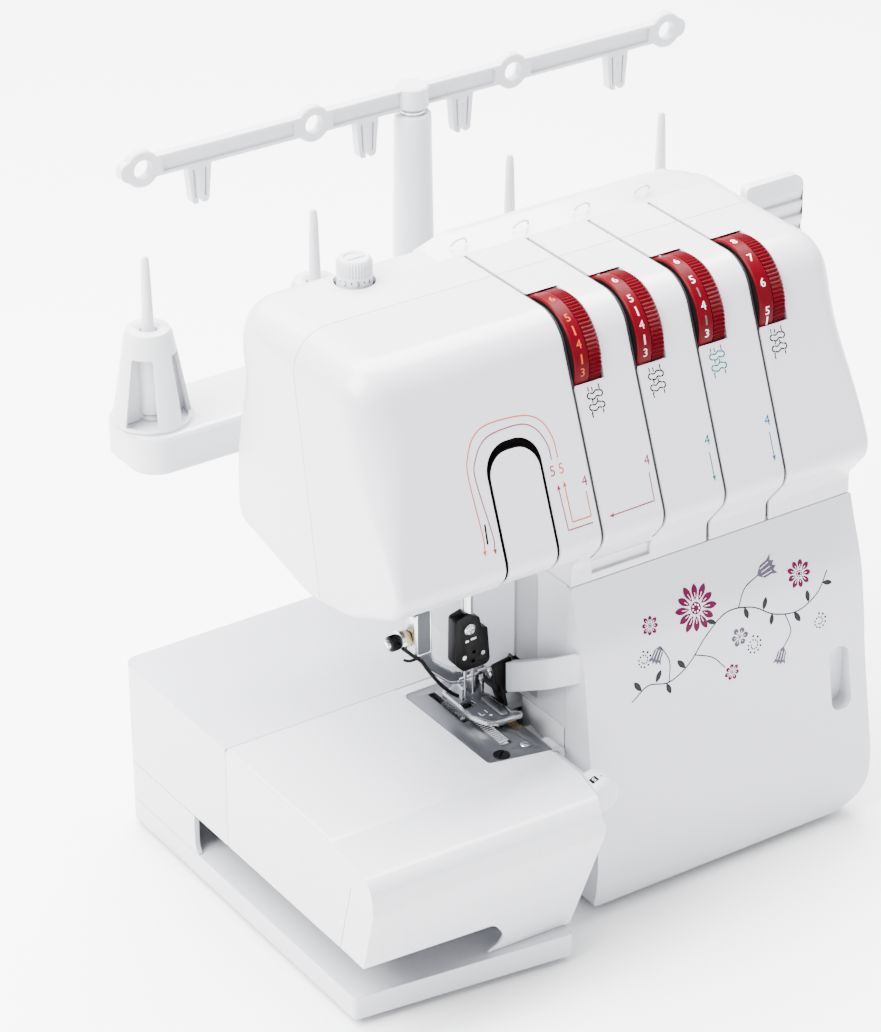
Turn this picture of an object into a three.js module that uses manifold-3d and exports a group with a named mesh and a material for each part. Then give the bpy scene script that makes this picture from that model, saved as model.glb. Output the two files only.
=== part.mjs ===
// An overlock (serger) sewing machine as an assembly of separate pieces, in millimetres, +Z up.
// X runs to the right, Y to the back. The pieces are first laid out from the bottom front left
// corner of the bed; the finished group is then shifted so that its origin is at the bottom centre.
import * as THREE from "three";
import { mergeVertices } from "three/addons/utils/BufferGeometryUtils.js";
import Module from "manifold-3d";

const wasm = await Module();
wasm.setup();

// ---------- Driving dimensions ----------
const GAP = 0.3; // kept between pieces that touch
const WALL = 2.6; // moulded casing thickness
const PLAY = 0.3; // radial play of a turning or sliding fit
const CLEAR = 0.8; // room round a moving piece in its window
const BEYOND = 400; // past every piece, for the shapes that cut or bound them

const HEAD = { left: 40, right: 308, front: 43, back: 172.3, top: 294, seam: 166.5 };
const HEAD_CORE = { y: 100, z: 225 }; // the rounded ends draw in towards this line
const HEAD_ROUND = { left: 20, right: 15, least: 0.2, from: 200, to: 268 };
const SHELL_SEAM = { y: 96.8, z: 167.6, slope: 0.169 }; // slanted seam of the two head shells
const RIDGE = { left: 138, right: 293, front: 145, rise: 5.5, slope: 13, flat: 4, lean: 15 };
const COLUMN = { left: 143, right: 308, front: 46, cornerRadius: 22 };
const BED = { top: 88.4, seam: 119.5, back: 216.7, right: 143, cornerRadius: 18 };
const BASE = { top: 12, foot: 4, wall: 3, front: 9 };
const SHELF = 192.3; // top of the lower casing behind the head
const SLOT_GAP = { top: 34, back: 152, tip: 79.8 }; // open gap between bed and base plate
const FEET = [[16, 24], [280, 62], [20, 198], [284, 196]];
const FOOT_RADIUS = 9;
const TABLE = { right: 128.5, lean: -4 }; // the table's front edge leans out to the right

const DIAL = { radius: 27, width: 16, y: 82.5, z: 268.5, pitch: 35.2, first: 152.3, bore: 3 };
const WINDOW_WIDTH = DIAL.width + 2 * GAP;
const THREAD_SLOT = { width: 1.9, depth: 7, back: 143, rib: 2.1 };
const SLOT_ENDS = [16, 16, -0.5, -0.5].map((rise) => HEAD.seam + rise);

const PLATE = { left: 95.7, right: 127.4, front: 34, skew: 7, back: 113, thickness: 2.2 };
const KNIFE_NOTCH = { left: 122.2, front: 58 }; // corner of the plate left open for the knives
const PLATE_SCREWS = [["left", 104.8, 43.6, 3.9], ["right", 119.1, 45.3, 2.4]];
const DOG_ROWS = [
  { x: 106.2, width: 2.6, front: 80, back: 98, teeth: 5 },
  { x: 109.4, width: 5.4, front: 52.5, back: 76, teeth: 10 },
  { x: 117.4, width: 2, front: 66, back: 98, teeth: 8 },
];
const DOG = { travel: 2, rail: 76.4, railTop: 80.4, beamFront: 84, beamBack: 92 };
const FREE_ARM = { left: 24, right: 146, front: 46.5, back: 116, bottom: 42, wall: 3 };
const FRAME = { left: 146.2, right: 288, web: 4.5, front: 60, back: 160 };
const LOOPERS = { shaft: 3, lower: { y: 102, z: 56 }, upper: { y: 74, z: 54 } };
const KNIFE = { armLow: 95.5, armHigh: 101.5, front: 84, back: 92, room: 4.8 };
const RECESS = { front: 69.5, back: 89, depth: 1.2, low: 92, high: 160 }; // band in the column's flank
const CHUTE = { left: 128.4, right: COLUMN.left - CLEAR, back: 80 };

const NEEDLE = { x: 112, y: 83, barRadius: 2.9, spread: 4.4, tip: 95.5 };
const NEEDLE_XS = [-0.5, 0.5].map((side) => NEEDLE.x + 1 + side * NEEDLE.spread);
const CLAMP = { left: 105, right: 125, front: 74.5, back: 86.4, bottom: 111, top: 137.7 };
const CLAMP_SCREW = { x: 115, z: 126, radius: 4 };
const PRESSER = { x: 88.6, y: 90, radius: 3.5, pivotZ: 98.2, sole: 90.8 };
const TAKE_UP = { y: 76, z: 226, left: 97.6, right: 127.6, top: 250, gap: 1.8, topGap: 4.4 };
const SHAFT = { y: 132, z: 128, radius: 5 };
const MOTOR = { y: 186, z: 50, radius: 25, left: 180, right: 250, pulley: 8 };
const BELT = { from: 262, to: 271, thickness: 1.6, pulley: 28 };
const HANDWHEEL = { radius: 37, from: 311, to: 331 };
const COVER_AXIS = { y: 29, z: 10, radius: 2.5 };
const COVER_BACK = COLUMN.front - GAP;
const COVER_TOP = HEAD.seam - 2 * GAP;
const HINGE_LUGS = [160, 284];
const EARS = [176, 268];
const LUG_WIDTH = 6;
const GRIP = { left: 286, right: 298, low: 59, high: 92, depth: 31 };
const WIDTH_DIAL = { x: 133.2, z: 78, radius: 8.8, from: -1, to: 13, stem: 3 };
const LENGTH_DIAL = { y: 75, z: 62, radius: 17 };
const RATIO_DIAL = { y: 70, z: 118, radius: 12 };
const LIFTER = { y: 136.5, z: 226, hub: 9, left: 310, right: 345, top: 293, front: 130, depth: 13 };
const PRESSURE = { x: 95, y: 150, radius: 8.5, hole: 10, top: 306, bottom: 262 };

const STAND = {
  x: 174.5,
  halfLength: 166,
  front: BED.back - 17.2,
  back: BED.back + 27.8,
  top: SHELF + 19.9,
  radius: 14,
};
const PIN = {
  y: BED.back + 5.3,
  offsets: [-149, -56.7, 56.7, 149],
  top: STAND.top + 84.4,
  flange: 5.5,
};
const CONE = { base: 18, top: 11, height: 58, wall: 1.8, sleeve: 5.6 };
const POST = { top: 333, topRadius: 9, baseRadius: 10.5, tube: 4.5, tubeBottom: 228 };
const TREE = { z: POST.top + 8, half: 5, thickness: 5, halfLength: 160.5, hole: 4.75, ring: 9 };
const HOOK_OFFSETS = [-119.2, -27.1, 27.1, 119.2];

// ---------- Finishes ----------
const finish = (color, roughness, metalness) => ({ color, roughness, metalness });
const WHITE = finish(0xf1f2f5, 0.28, 0);
const SOFT_WHITE = finish(0xe9eaee, 0.42, 0);
const RED = finish(0x8f0a22, 0.22, 0);
const STEEL = finish(0xb9bbbd, 0.3, 1);
const DARK_STEEL = finish(0x6a6c70, 0.38, 1);
const CAST = finish(0x9a9c9f, 0.6, 0.9);
const BLACK = finish(0x151517, 0.4, 0);
const RUBBER = finish(0x1d1d1e, 0.85, 0);

// ---------- Shape helpers ----------
const point = (x, y) => new THREE.Vector2(x, y);
const TURN = {
  x: new THREE.Matrix4().set(0, 0, 1, 0, 1, 0, 0, 0, 0, 1, 0, 0, 0, 0, 0, 1),
  y: new THREE.Matrix4().set(0, 1, 0, 0, 0, 0, 1, 0, 1, 0, 0, 0, 0, 0, 0, 1),
  z: new THREE.Matrix4(),
};

// A closed three.js geometry as a solid that can be joined and cut.
function solid(geometry) {
  geometry.deleteAttribute("normal");
  geometry.deleteAttribute("uv");
  const merged = mergeVertices(geometry, 1e-4);
  const vertProperties = new Float32Array(merged.attributes.position.array);
  const triVerts = new Uint32Array(merged.index.array);
  return new wasm.Manifold(new wasm.Mesh({ numProp: 3, vertProperties, triVerts }));
}

function geometryOf(body) {
  const mesh = body.getMesh();
  const geometry = new THREE.BufferGeometry();
  geometry.setAttribute("position", new THREE.BufferAttribute(mesh.vertProperties, 3));
  geometry.setIndex(new THREE.BufferAttribute(mesh.triVerts, 1));
  const flat = geometry.toNonIndexed();
  flat.computeVertexNormals();
  return flat;
}

const join = (...bodies) => bodies.reduce((all, body) => all.add(body));
const cut = (body, ...tools) => tools.reduce((left, tool) => left.subtract(tool), body);

// A polygon whose corners [x, y, radius] are rounded by arcs.
function rounded(corners, steps = 3) {
  const outline = [];
  corners.forEach(([x, y, wanted = 0], index) => {
    const corner = point(x, y);
    if (wanted === 0) {
      outline.push(corner);
      return;
    }
    const before = corners.at(index - 1);
    const after = corners[(index + 1) % corners.length];
    const toBefore = point(before[0], before[1]).sub(corner);
    const toAfter = point(after[0], after[1]).sub(corner);
    const room = 0.49 * Math.min(toBefore.length(), toAfter.length());
    toBefore.normalize();
    toAfter.normalize();
    const half = Math.acos(toBefore.dot(toAfter)) / 2;
    const reach = Math.min(wanted / Math.tan(half), room);
    const radius = reach * Math.tan(half);
    const start = corner.clone().addScaledVector(toBefore, reach);
    const end = corner.clone().addScaledVector(toAfter, reach);
    const middle = toBefore.clone().add(toAfter).normalize();
    const centre = corner.clone().addScaledVector(middle, radius / Math.sin(half));
    const first = start.clone().sub(centre).angle();
    let sweep = end.clone().sub(centre).angle() - first;
    if (sweep > Math.PI) sweep -= 2 * Math.PI;
    if (sweep < -Math.PI) sweep += 2 * Math.PI;
    for (let step = 0; step <= steps; step++) {
      const angle = first + (sweep * step) / steps;
      outline.push(point(centre.x + radius * Math.cos(angle), centre.y + radius * Math.sin(angle)));
    }
  });
  return outline;
}

function circle(x, y, radius, sides = 16) {
  const outline = [];
  for (let side = 0; side < sides; side++) {
    const angle = (2 * Math.PI * side) / sides;
    outline.push(point(x + radius * Math.cos(angle), y + radius * Math.sin(angle)));
  }
  return outline;
}

const rectangle = (x0, x1, y0, y1, radius = 0, steps = 2) =>
  rounded([[x0, y0, radius], [x1, y0, radius], [x1, y1, radius], [x0, y1, radius]], steps);

// An outline carried along an axis. Outlines are (y, z) along x, (x, z) along y, (x, y) along z.
function prism(axis, outline, from, to) {
  const flat = axis === "y" ? outline.map((p) => point(p.y, p.x)) : outline;
  const geometry = new THREE.ExtrudeGeometry(new THREE.Shape(flat), {
    depth: to - from,
    bevelEnabled: false,
  });
  geometry.translate(0, 0, from);
  geometry.applyMatrix4(TURN[axis]);
  return solid(geometry);
}

const rod = (axis, [u, v], radius, from, to, sides = 12) =>
  prism(axis, circle(u, v, radius, sides), from, to);

function block(x0, x1, y0, y1, z0, z1) {
  const geometry = new THREE.BoxGeometry(x1 - x0, y1 - y0, z1 - z0);
  geometry.translate((x0 + x1) / 2, (y0 + y1) / 2, (z0 + z1) / 2);
  return solid(geometry);
}

// A turned piece: [radius, height] pairs from the low end to the high end of its axis.
function turned(axis, [x, y, z], profile, sides = 16) {
  const geometry = new THREE.LatheGeometry(profile.map(([r, h]) => point(r, h)), sides);
  if (axis === "z") geometry.rotateX(Math.PI / 2);
  if (axis === "x") geometry.rotateZ(-Math.PI / 2);
  geometry.translate(x, y, z);
  return solid(geometry);
}

// A round wire or tube along a smooth curve through the given points.
function pipe(points, radius, steps = 12, sides = 8) {
  const curve = new THREE.CatmullRomCurve3(points.map((p) => new THREE.Vector3(...p)));
  const geometry = new THREE.ExtrudeGeometry(new THREE.Shape(circle(0, 0, radius, sides)), {
    steps,
    bevelEnabled: false,
    extrudePath: curve,
  });
  return solid(geometry);
}

// A closed skin over rings of [x, y, z] points that follow each other along X, with flat ends.
function loft(rings) {
  const count = rings[0].length;
  const positions = rings.flat(2);
  const indices = [];
  const flatRing = rings[0].map((p) => point(p[1], p[2]));
  const forward = THREE.ShapeUtils.area(flatRing) > 0;
  for (let ring = 0; ring < rings.length - 1; ring++) {
    for (let side = 0; side < count; side++) {
      const a = ring * count + side;
      const b = ring * count + ((side + 1) % count);
      const [p, q] = forward ? [a, b] : [b, a];
      indices.push(p, q, p + count, q, q + count, p + count);
    }
  }
  const caps = THREE.ShapeUtils.triangulateShape(flatRing, []);
  const last = (rings.length - 1) * count;
  caps.forEach(([a, b, c]) => indices.push(c, b, a, last + a, last + b, last + c));
  const geometry = new THREE.BufferGeometry();
  geometry.setAttribute("position", new THREE.Float32BufferAttribute(positions, 3));
  geometry.setIndex(indices);
  return solid(geometry);
}

// A closed outline with every side moved inwards by a distance (outwards if negative).
function inset(outline, distance) {
  const area = THREE.ShapeUtils.area(outline);
  const side = Math.sign(area) * distance;
  return outline.map((corner, index) => {
    const before = outline.at(index - 1);
    const after = outline[(index + 1) % outline.length];
    const into = corner.clone().sub(before).normalize();
    const out = after.clone().sub(corner).normalize();
    const middle = into.clone().add(out).normalize();
    const stretch = side / Math.max(0.5, middle.dot(into));
    return point(corner.x - middle.y * stretch, corner.y + middle.x * stretch);
  });
}

// ---------- The part ----------
const group = new THREE.Group();
const machine = new THREE.Group();
group.add(machine);

function piece(name, body, look, position = [0, 0, 0]) {
  const mesh = new THREE.Mesh(geometryOf(body), new THREE.MeshStandardMaterial(look));
  mesh.name = name;
  mesh.position.set(...position);
  machine.add(mesh);
}

// ---------- Head: two shells over the arm ----------
const CROWN = [67.2, HEAD.top, 20];
const NOSE = [28.7, HEAD.seam + 28, 12];
const BACK_TOP = [HEAD.back, HEAD.top, 16];
// The arm's underside from the front to the back: [y, rise above the seam, radius].
const UNDERSIDE = [[36.4, 18.4, 3], [71, 2.7, 40], [104.8, -3.7, 60], [169.5, 11.7, 9]].map(
  ([y, rise, radius]) => [y, HEAD.seam + rise, radius],
);
const ARM_OUTLINE = rounded([BACK_TOP, CROWN, NOSE, ...UNDERSIDE]);
const FRONT_LIP = [HEAD.front + GAP, HEAD.seam + 9.8, 7];
const HEAD_BOTTOM = [[HEAD.front, HEAD.seam], [HEAD.back, HEAD.seam]];
const HEAD_OUTLINE = rounded([BACK_TOP, CROWN, NOSE, FRONT_LIP, ...HEAD_BOTTOM]);

// Rings of an outline near a rounded end: the higher the point, the larger its radius.
function endRings(outline, x, direction, radius, count = 3) {
  const rings = [];
  for (let step = 0; step <= count; step++) {
    const angle = (Math.PI / 2) * (step / count);
    rings.push(
      outline.map((p) => {
        const rise = THREE.MathUtils.smoothstep(p.y, HEAD_ROUND.from, HEAD_ROUND.to);
        const own = radius * THREE.MathUtils.lerp(HEAD_ROUND.least, 1, rise);
        const core = point(HEAD_CORE.y - p.x, HEAD_CORE.z - p.y).normalize();
        const drawn = own * (1 - Math.sin(angle));
        return [
          x + direction * own * (1 - Math.cos(angle)),
          p.x + core.x * drawn,
          p.y + core.y * drawn,
        ];
      }),
    );
  }
  return rings;
}

const levelRing = (outline, x) => outline.map((p) => [x, p.x, p.y]);

function headBody(wall) {
  const arm = inset(ARM_OUTLINE, wall);
  const open = HEAD.seam + 3.5 + wall; // the inside runs out through the open bottom
  const column = inset(HEAD_OUTLINE, wall).map((p) =>
    point(p.x, p.y < open ? p.y - 3 * wall : p.y),
  );
  const leftEnd = endRings(arm, HEAD.left + wall, 1, HEAD_ROUND.left - wall);
  const rightEnd = endRings(column, HEAD.right - wall, -1, HEAD_ROUND.right - wall).reverse();
  const armBody = loft([...leftEnd, levelRing(arm, COLUMN.left + wall)]);
  const columnBody = loft([levelRing(column, COLUMN.left + wall), ...rightEnd]);
  return join(armBody, columnBody);
}

// The part of the wall from one depth to another below the surface, for one thread slot.
function wallBand(from, to, left, right, lowEnd) {
  const shell = cut(
    prism("x", inset(HEAD_OUTLINE, from), left, right),
    prism("x", inset(HEAD_OUTLINE, to), left - 1, right + 1),
  );
  const top = block(left - 1, right + 1, 20, THREAD_SLOT.back, 230, HEAD.top + 5);
  const front = block(left - 1, right + 1, 20, 62, lowEnd, 231);
  return shell.intersect(join(top, front));
}

const archOutline = (left, right, top, bottom, radius) =>
  rounded([[left, bottom], [right, bottom], [right, top, radius], [left, top, radius]], 6);

// The raised rail behind the thread slots, whose left end slopes down to the top face.
function guideRidge() {
  const { left, right, front, rise, slope, flat, lean } = RIDGE;
  const sunk = HEAD.top - 1;
  const side = [
    point(front - 2, sunk),
    point(front, HEAD.top),
    point(front + slope, HEAD.top + rise),
    point(front + slope + flat, HEAD.top + rise),
    point(front + slope + flat + 1, sunk),
  ];
  const view = [
    point(left - 3, sunk),
    point(left, HEAD.top),
    point(left + lean, HEAD.top + rise),
    point(right - lean, HEAD.top + rise),
    point(right, HEAD.top),
    point(right + 3, sunk),
  ];
  return prism("x", side, left - 3, right + 3).intersect(prism("y", view, front - 3, HEAD.back));
}

function headShells() {
  const outer = headBody(0);
  const inner = headBody(WALL);
  let shell = cut(outer, inner);
  SLOT_ENDS.forEach((lowEnd, index) => {
    const x = DIAL.first + index * DIAL.pitch;
    const ribLeft = x - THREAD_SLOT.width - THREAD_SLOT.rib;
    const rib = wallBand(1, THREAD_SLOT.depth + 2, ribLeft, x + THREAD_SLOT.rib, lowEnd);
    const slot = wallBand(-2, THREAD_SLOT.depth, x - THREAD_SLOT.width, x, lowEnd - 1);
    const window = rod("x", [DIAL.y, DIAL.z], DIAL.radius + CLEAR, x, x + WINDOW_WIDTH, 28);
    shell = cut(join(shell, rib), slot, window);
  });
  const arch = archOutline(TAKE_UP.left, TAKE_UP.right, TAKE_UP.top, HEAD.seam + 3.5, 13);
  const needleBay = block(70, 134, 62, 114, HEAD.seam - 16, HEAD.seam + 19.5);
  const knobHole = rod("z", [PRESSURE.x, PRESSURE.y], PRESSURE.hole, 280, 300);
  const lifterHole = rod("x", [LIFTER.y, LIFTER.z], 5 + PLAY, 300, 312);
  shell = cut(shell, prism("y", arch, 15, 57), needleBay, knobHole, lifterHole);
  const seamY = (z) => SHELL_SEAM.y + SHELL_SEAM.slope * (z - SHELL_SEAM.z);
  const side = (y, direction) => [
    point(seamY(0) + direction * GAP / 2, 0),
    point(y, 0),
    point(y, BEYOND),
    point(seamY(BEYOND) + direction * GAP / 2, BEYOND),
  ];
  const front = shell.intersect(prism("x", side(0, -1), 0, BEYOND));
  const rear = join(shell.intersect(prism("x", side(BEYOND, 1), 0, BEYOND)), guideRidge());
  piece("front_housing", front, WHITE);
  piece("rear_housing", rear, WHITE);

  const tongueArch = archOutline(
    TAKE_UP.left + TAKE_UP.gap,
    TAKE_UP.right - TAKE_UP.gap,
    TAKE_UP.top - TAKE_UP.topGap,
    186,
    11,
  );
  const skin = cut(outer, headBody(WALL)).intersect(prism("y", tongueArch, 15, 57));
  const stem = block(108, 117, 34, 66, 200, 206);
  piece("take_up_cover", join(skin, stem), WHITE);
}
headShells();

// ---------- Lower casing, base plate, feet ----------
const bodyFront = () =>
  prism(
    "y",
    rounded([
      [COLUMN.left, 0],
      [COLUMN.right, 0, COLUMN.cornerRadius],
      [COLUMN.right, BEYOND],
      [COLUMN.left, BEYOND],
    ], 6),
    0,
    BEYOND,
  );

// The window in which the upper knife's arm moves up and down.
const knifeRoom = (side) =>
  rectangle(KNIFE.front - side, KNIFE.back + side, KNIFE.armLow - 2.8, KNIFE.armHigh + KNIFE.room, 2);

function rearBed() {
  const bedPlan = (gap) => [
    [gap, BED.seam + GAP + gap],
    [BED.right + 6, BED.seam + GAP + gap],
    [BED.right + 6, BED.back - gap],
    [gap, BED.back - gap, BED.cornerRadius - gap],
  ];
  const bedOuter = prism("z", rounded(bedPlan(0)), BASE.top + GAP, BED.top);
  const bedInner = prism("z", rounded(bedPlan(WALL)), 0, BED.top - WALL);
  const low = HEAD.seam - GAP;
  const step = HEAD.back + GAP;
  const side = (w) => [
    point(COLUMN.front - (w ? 10 : 0), BASE.top + GAP - (w ? 20 : 0)),
    point(BED.back - w, BASE.top + GAP - (w ? 20 : 0)),
    point(BED.back - w, SHELF - w),
    point(step + w, SHELF - w),
    point(step + w, low + (w ? 0.1 : 0)),
    point(step + w, low),
    point(COLUMN.front - (w ? 10 : 0), low + (w ? 5 : 0)),
  ];
  const outerSide = [
    [COLUMN.front, BASE.top + GAP],
    [BED.back, BASE.top + GAP],
    [BED.back, SHELF, 4],
    [step, SHELF],
    [step, low],
    [COLUMN.front, low],
  ];
  const columnOuter = prism("x", rounded(outerSide), COLUMN.left, COLUMN.right).intersect(bodyFront());
  const innerSide = [
    point(COLUMN.front - 5, 0),
    point(BED.back - WALL, 0),
    point(BED.back - WALL, SHELF - WALL),
    point(step + WALL, SHELF - WALL),
    point(step + WALL, low + 10),
    point(COLUMN.front - 5, low + 10),
  ];
  const innerFront = prism(
    "y",
    rounded([
      [COLUMN.left + WALL, -5],
      [COLUMN.right - WALL, -5, 1],
      [COLUMN.right - WALL, BEYOND],
      [COLUMN.left + WALL, BEYOND],
    ]),
    0,
    BEYOND,
  );
  const columnInner = prism("x", innerSide, COLUMN.left, COLUMN.right).intersect(innerFront);
  const passage = block(
    COLUMN.left - 10,
    COLUMN.left + 10,
    BED.seam + GAP + WALL,
    BED.back - WALL,
    0,
    BED.top - WALL,
  );
  const armWindow = block(
    COLUMN.left - 1,
    COLUMN.left + 10,
    COLUMN.front - 1,
    BED.seam + GAP,
    FREE_ARM.bottom - 2,
    BED.top,
  );
  const knifeWindow = prism("x", knifeRoom(2), COLUMN.left - 1, COLUMN.left + 5);
  const recess = prism(
    "x",
    rectangle(RECESS.front, RECESS.back, RECESS.low, RECESS.high, 2),
    COLUMN.left - 1,
    COLUMN.left + RECESS.depth,
  );
  const gapOutline = rounded([
    [BED.seam - 5, BASE.top - 1],
    [SLOT_GAP.back, BASE.top - 1, 7],
    [SLOT_GAP.back, SLOT_GAP.top],
    [BED.seam - 5, SLOT_GAP.top],
  ]);
  const leftGap = prism("x", gapOutline, -5, 6);
  const rightWall = (y, z, radius) => rod("x", [y, z], radius, COLUMN.right - 5, COLUMN.right + 1);
  const switchHole = prism("x", rectangle(149, 165, 30, 56, 2), COLUMN.right - 5, COLUMN.right + 1);
  const inletHole = prism("x", rectangle(178, 204, 30, 56, 3), COLUMN.right - 5, COLUMN.right + 1);
  return cut(
    join(bedOuter, columnOuter),
    bedInner,
    columnInner,
    passage,
    armWindow,
    knifeWindow,
    recess,
    leftGap,
    rightWall(SHAFT.y, SHAFT.z, SHAFT.radius + 3),
    rightWall(LENGTH_DIAL.y, LENGTH_DIAL.z, 4 + PLAY),
    rightWall(RATIO_DIAL.y, RATIO_DIAL.z, 4 + PLAY),
    switchHole,
    inletHole,
  );
}
piece("rear_bed", rearBed(), WHITE);

function basePlate() {
  const plan = [
    [0, BASE.front, 8],
    [112, -5, 6],
    [112, 30],
    [126, 37],
    [CHUTE.right, 38],
    [CHUTE.right, COLUMN.front + GAP],
    [COLUMN.right, COLUMN.front + GAP],
    [COLUMN.right, BED.back, 12],
    [0, BED.back, BED.cornerRadius],
  ];
  const outer = prism("z", rounded(plan), 0, BASE.top);
  const pocketPlan = inset(rounded(plan), BASE.wall);
  let pockets = prism("z", pocketPlan, -1, BASE.top - BASE.wall);
  for (const x of [58, 128, 200, 262]) {
    pockets = cut(pockets, block(x, x + BASE.wall, -20, 230, -2, BASE.top));
  }
  for (const y of [60, 128, 180]) {
    pockets = cut(pockets, block(-5, 320, y, y + BASE.wall, -2, BASE.top));
  }
  const pads = FEET.map(([x, y]) => rod("z", [x, y], FOOT_RADIUS + 2, 0, BASE.top));
  const lugs = HINGE_LUGS.map((x) => hingeLug(x));
  const body = join(cut(outer, pockets), ...pads, ...lugs, wasteChute());
  return cut(body, rod("x", [COVER_AXIS.y, COVER_AXIS.z], COVER_AXIS.radius + PLAY, 140, 320));
}

// The curved wall that leads cut-off thread and cloth away, with a boss for the width dial's stem.
function wasteChute() {
  const outline = [
    point(39, 4),
    point(44, 4),
    point(45, 58),
    point(52, 66),
    point(62, 70),
    point(73.5, 73),
    point(73.5, 76),
    point(60, 73.5),
    point(48, 69.5),
    point(42.5, 61),
  ];
  const wall = prism("x", outline, CHUTE.left, CHUTE.right);
  const boss = rod("y", [WIDTH_DIAL.x, WIDTH_DIAL.z], 6, 41, 50);
  const web = block(WIDTH_DIAL.x - 3, WIDTH_DIAL.x + 3, 44, 50, 62, WIDTH_DIAL.z);
  const bore = rod("y", [WIDTH_DIAL.x, WIDTH_DIAL.z], WIDTH_DIAL.stem + PLAY, 30, 80);
  return cut(join(wall, boss, web), bore);
}

// An arm of the base plate that reaches forward to the cover's hinge rod.
function hingeLug(x) {
  const eye = circle(COVER_AXIS.y, COVER_AXIS.z, 5.4, 12);
  const arm = [point(COVER_AXIS.y, 6), point(50, 2), point(50, BASE.top), point(COVER_AXIS.y, 14)];
  return join(prism("x", eye, x, x + LUG_WIDTH), prism("x", arm, x, x + LUG_WIDTH));
}

// The lower right corner of base plate and casing follows the front's large round.
const baseCorner = () =>
  prism(
    "y",
    rounded([[-5, 0], [COLUMN.right, 0, COLUMN.cornerRadius], [COLUMN.right, 40], [-5, 40]], 6),
    -30,
    300,
  );
piece("base_plate", basePlate().intersect(baseCorner()), WHITE);

const footNames = ["front_left", "front_right", "rear_left", "rear_right"];
footNames.forEach((name, index) => {
  const body = turned("z", [0, 0, 0], [[0, -BASE.foot], [8, -BASE.foot], [FOOT_RADIUS, -GAP], [0, -GAP]]);
  piece("foot_" + name, body, RUBBER, [...FEET[index], 0]);
});

// ---------- Chassis ----------
function freeArm() {
  const { left, right, front, back, bottom, wall } = FREE_ARM;
  const top = BED.top - PLATE.thickness - 2 * GAP;
  const outer = prism("x", rectangle(front, back, bottom, top, 6), left, right + 1);
  const inner = prism(
    "x",
    rectangle(front + wall, back - wall, bottom + wall, top - wall, 4),
    left + wall,
    right + 9,
  );
  const mouth = block(99, 130.5, front + wall + 0.1, 108, top - wall - 5, top + 1);
  const chute = block(CHUTE.left - 2 * GAP, 160, front - 5, CHUTE.back + 1, 60, 100);
  return cut(outer, inner, mouth, chute);
}

function frameWeb(x) {
  const outline = rounded([
    [FRAME.front, BASE.top + GAP],
    [FRAME.back, BASE.top + GAP],
    [FRAME.back, 250, 10],
    [94, 282, 8],
    [70, 279, 8],
    [70, 258, 8],
    [112, 228, 10],
    [112, 160, 10],
    [FRAME.front, 140, 6],
  ]);
  return prism("x", outline, x, x + FRAME.web);
}

function mainFrame() {
  const { left, right, web, front, back } = FRAME;
  const bars = [
    block(left, right + web, back - 10, back, 222, 238),
    block(left, right + web, back - 10, back, BASE.top + GAP, 22),
    block(left, right + web, front, front + 10, BASE.top + GAP, 22),
  ];
  const armBeam = block(72, left + 1, 128, 146, 205, 245);
  const headPlate = block(72, 132, 120, 130, 196, 262);
  const lowLug = block(80, 122, 76, 122, 196, 203);
  const highLug = block(80, 122, 76, 122, 246, 253);
  const tongueRest = block(106, 119, 66 + GAP, 78, 196, 203);
  const stud = rod("x", [TAKE_UP.y, TAKE_UP.z], 3, 94, 112);
  const studArm = block(108.6, 112, TAKE_UP.y - 4, 122, TAKE_UP.z - 5, TAKE_UP.z + 5);
  const knobPost = rod("z", [PRESSURE.x, PRESSURE.y], 5, 238, 262 - GAP);
  const knobBracket = block(88, 102, 140, 156, 236, 244);
  const cradle = block(
    MOTOR.left + 6,
    MOTOR.right - 6,
    back - 2,
    208,
    BASE.top + GAP,
    MOTOR.z - MOTOR.radius - GAP,
  );
  let body = join(
    freeArm(),
    frameWeb(left),
    frameWeb(right),
    ...bars,
    armBeam,
    headPlate,
    lowLug,
    highLug,
    tongueRest,
    stud,
    studArm,
    knobBracket,
    knobPost,
    cradle,
  );
  const bore = (axis, at, radius, from, to) => rod(axis, at, radius + PLAY, from, to);
  body = cut(
    body,
    bore("z", [NEEDLE.x, NEEDLE.y], NEEDLE.barRadius, 190, 270),
    bore("z", [PRESSER.x, PRESSER.y], PRESSER.radius, 190, 270),
    bore("x", [SHAFT.y, SHAFT.z], SHAFT.radius, 140, 300),
    bore("x", [DIAL.y, DIAL.z], DIAL.bore, 140, 300),
    bore("x", [LIFTER.y, LIFTER.z], 5, 280, 300),
    bore("x", [LENGTH_DIAL.y, LENGTH_DIAL.z], 4, 280, 300),
    bore("x", [RATIO_DIAL.y, RATIO_DIAL.z], 4, 280, 300),
    bore("x", [LOOPERS.lower.y, LOOPERS.lower.z], LOOPERS.shaft, 140, 160),
    bore("x", [LOOPERS.upper.y, LOOPERS.upper.z], LOOPERS.shaft, 140, 160),
    prism("x", knifeRoom(5), left - 1, left + web + 1),
  );
  return body;
}
piece("main_frame", mainFrame(), CAST);

// ---------- Needle plate, feed dog, knives ----------
const plateOutline = (grow) => [
  point(PLATE.left - grow, PLATE.front + PLATE.skew - grow),
  point(PLATE.right + grow, PLATE.front - grow),
  point(PLATE.right + grow, KNIFE_NOTCH.front + grow),
  point(KNIFE_NOTCH.left + grow, KNIFE_NOTCH.front + grow),
  point(KNIFE_NOTCH.left + grow, PLATE.back + grow),
  point(PLATE.left - grow, PLATE.back + grow),
];

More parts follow.
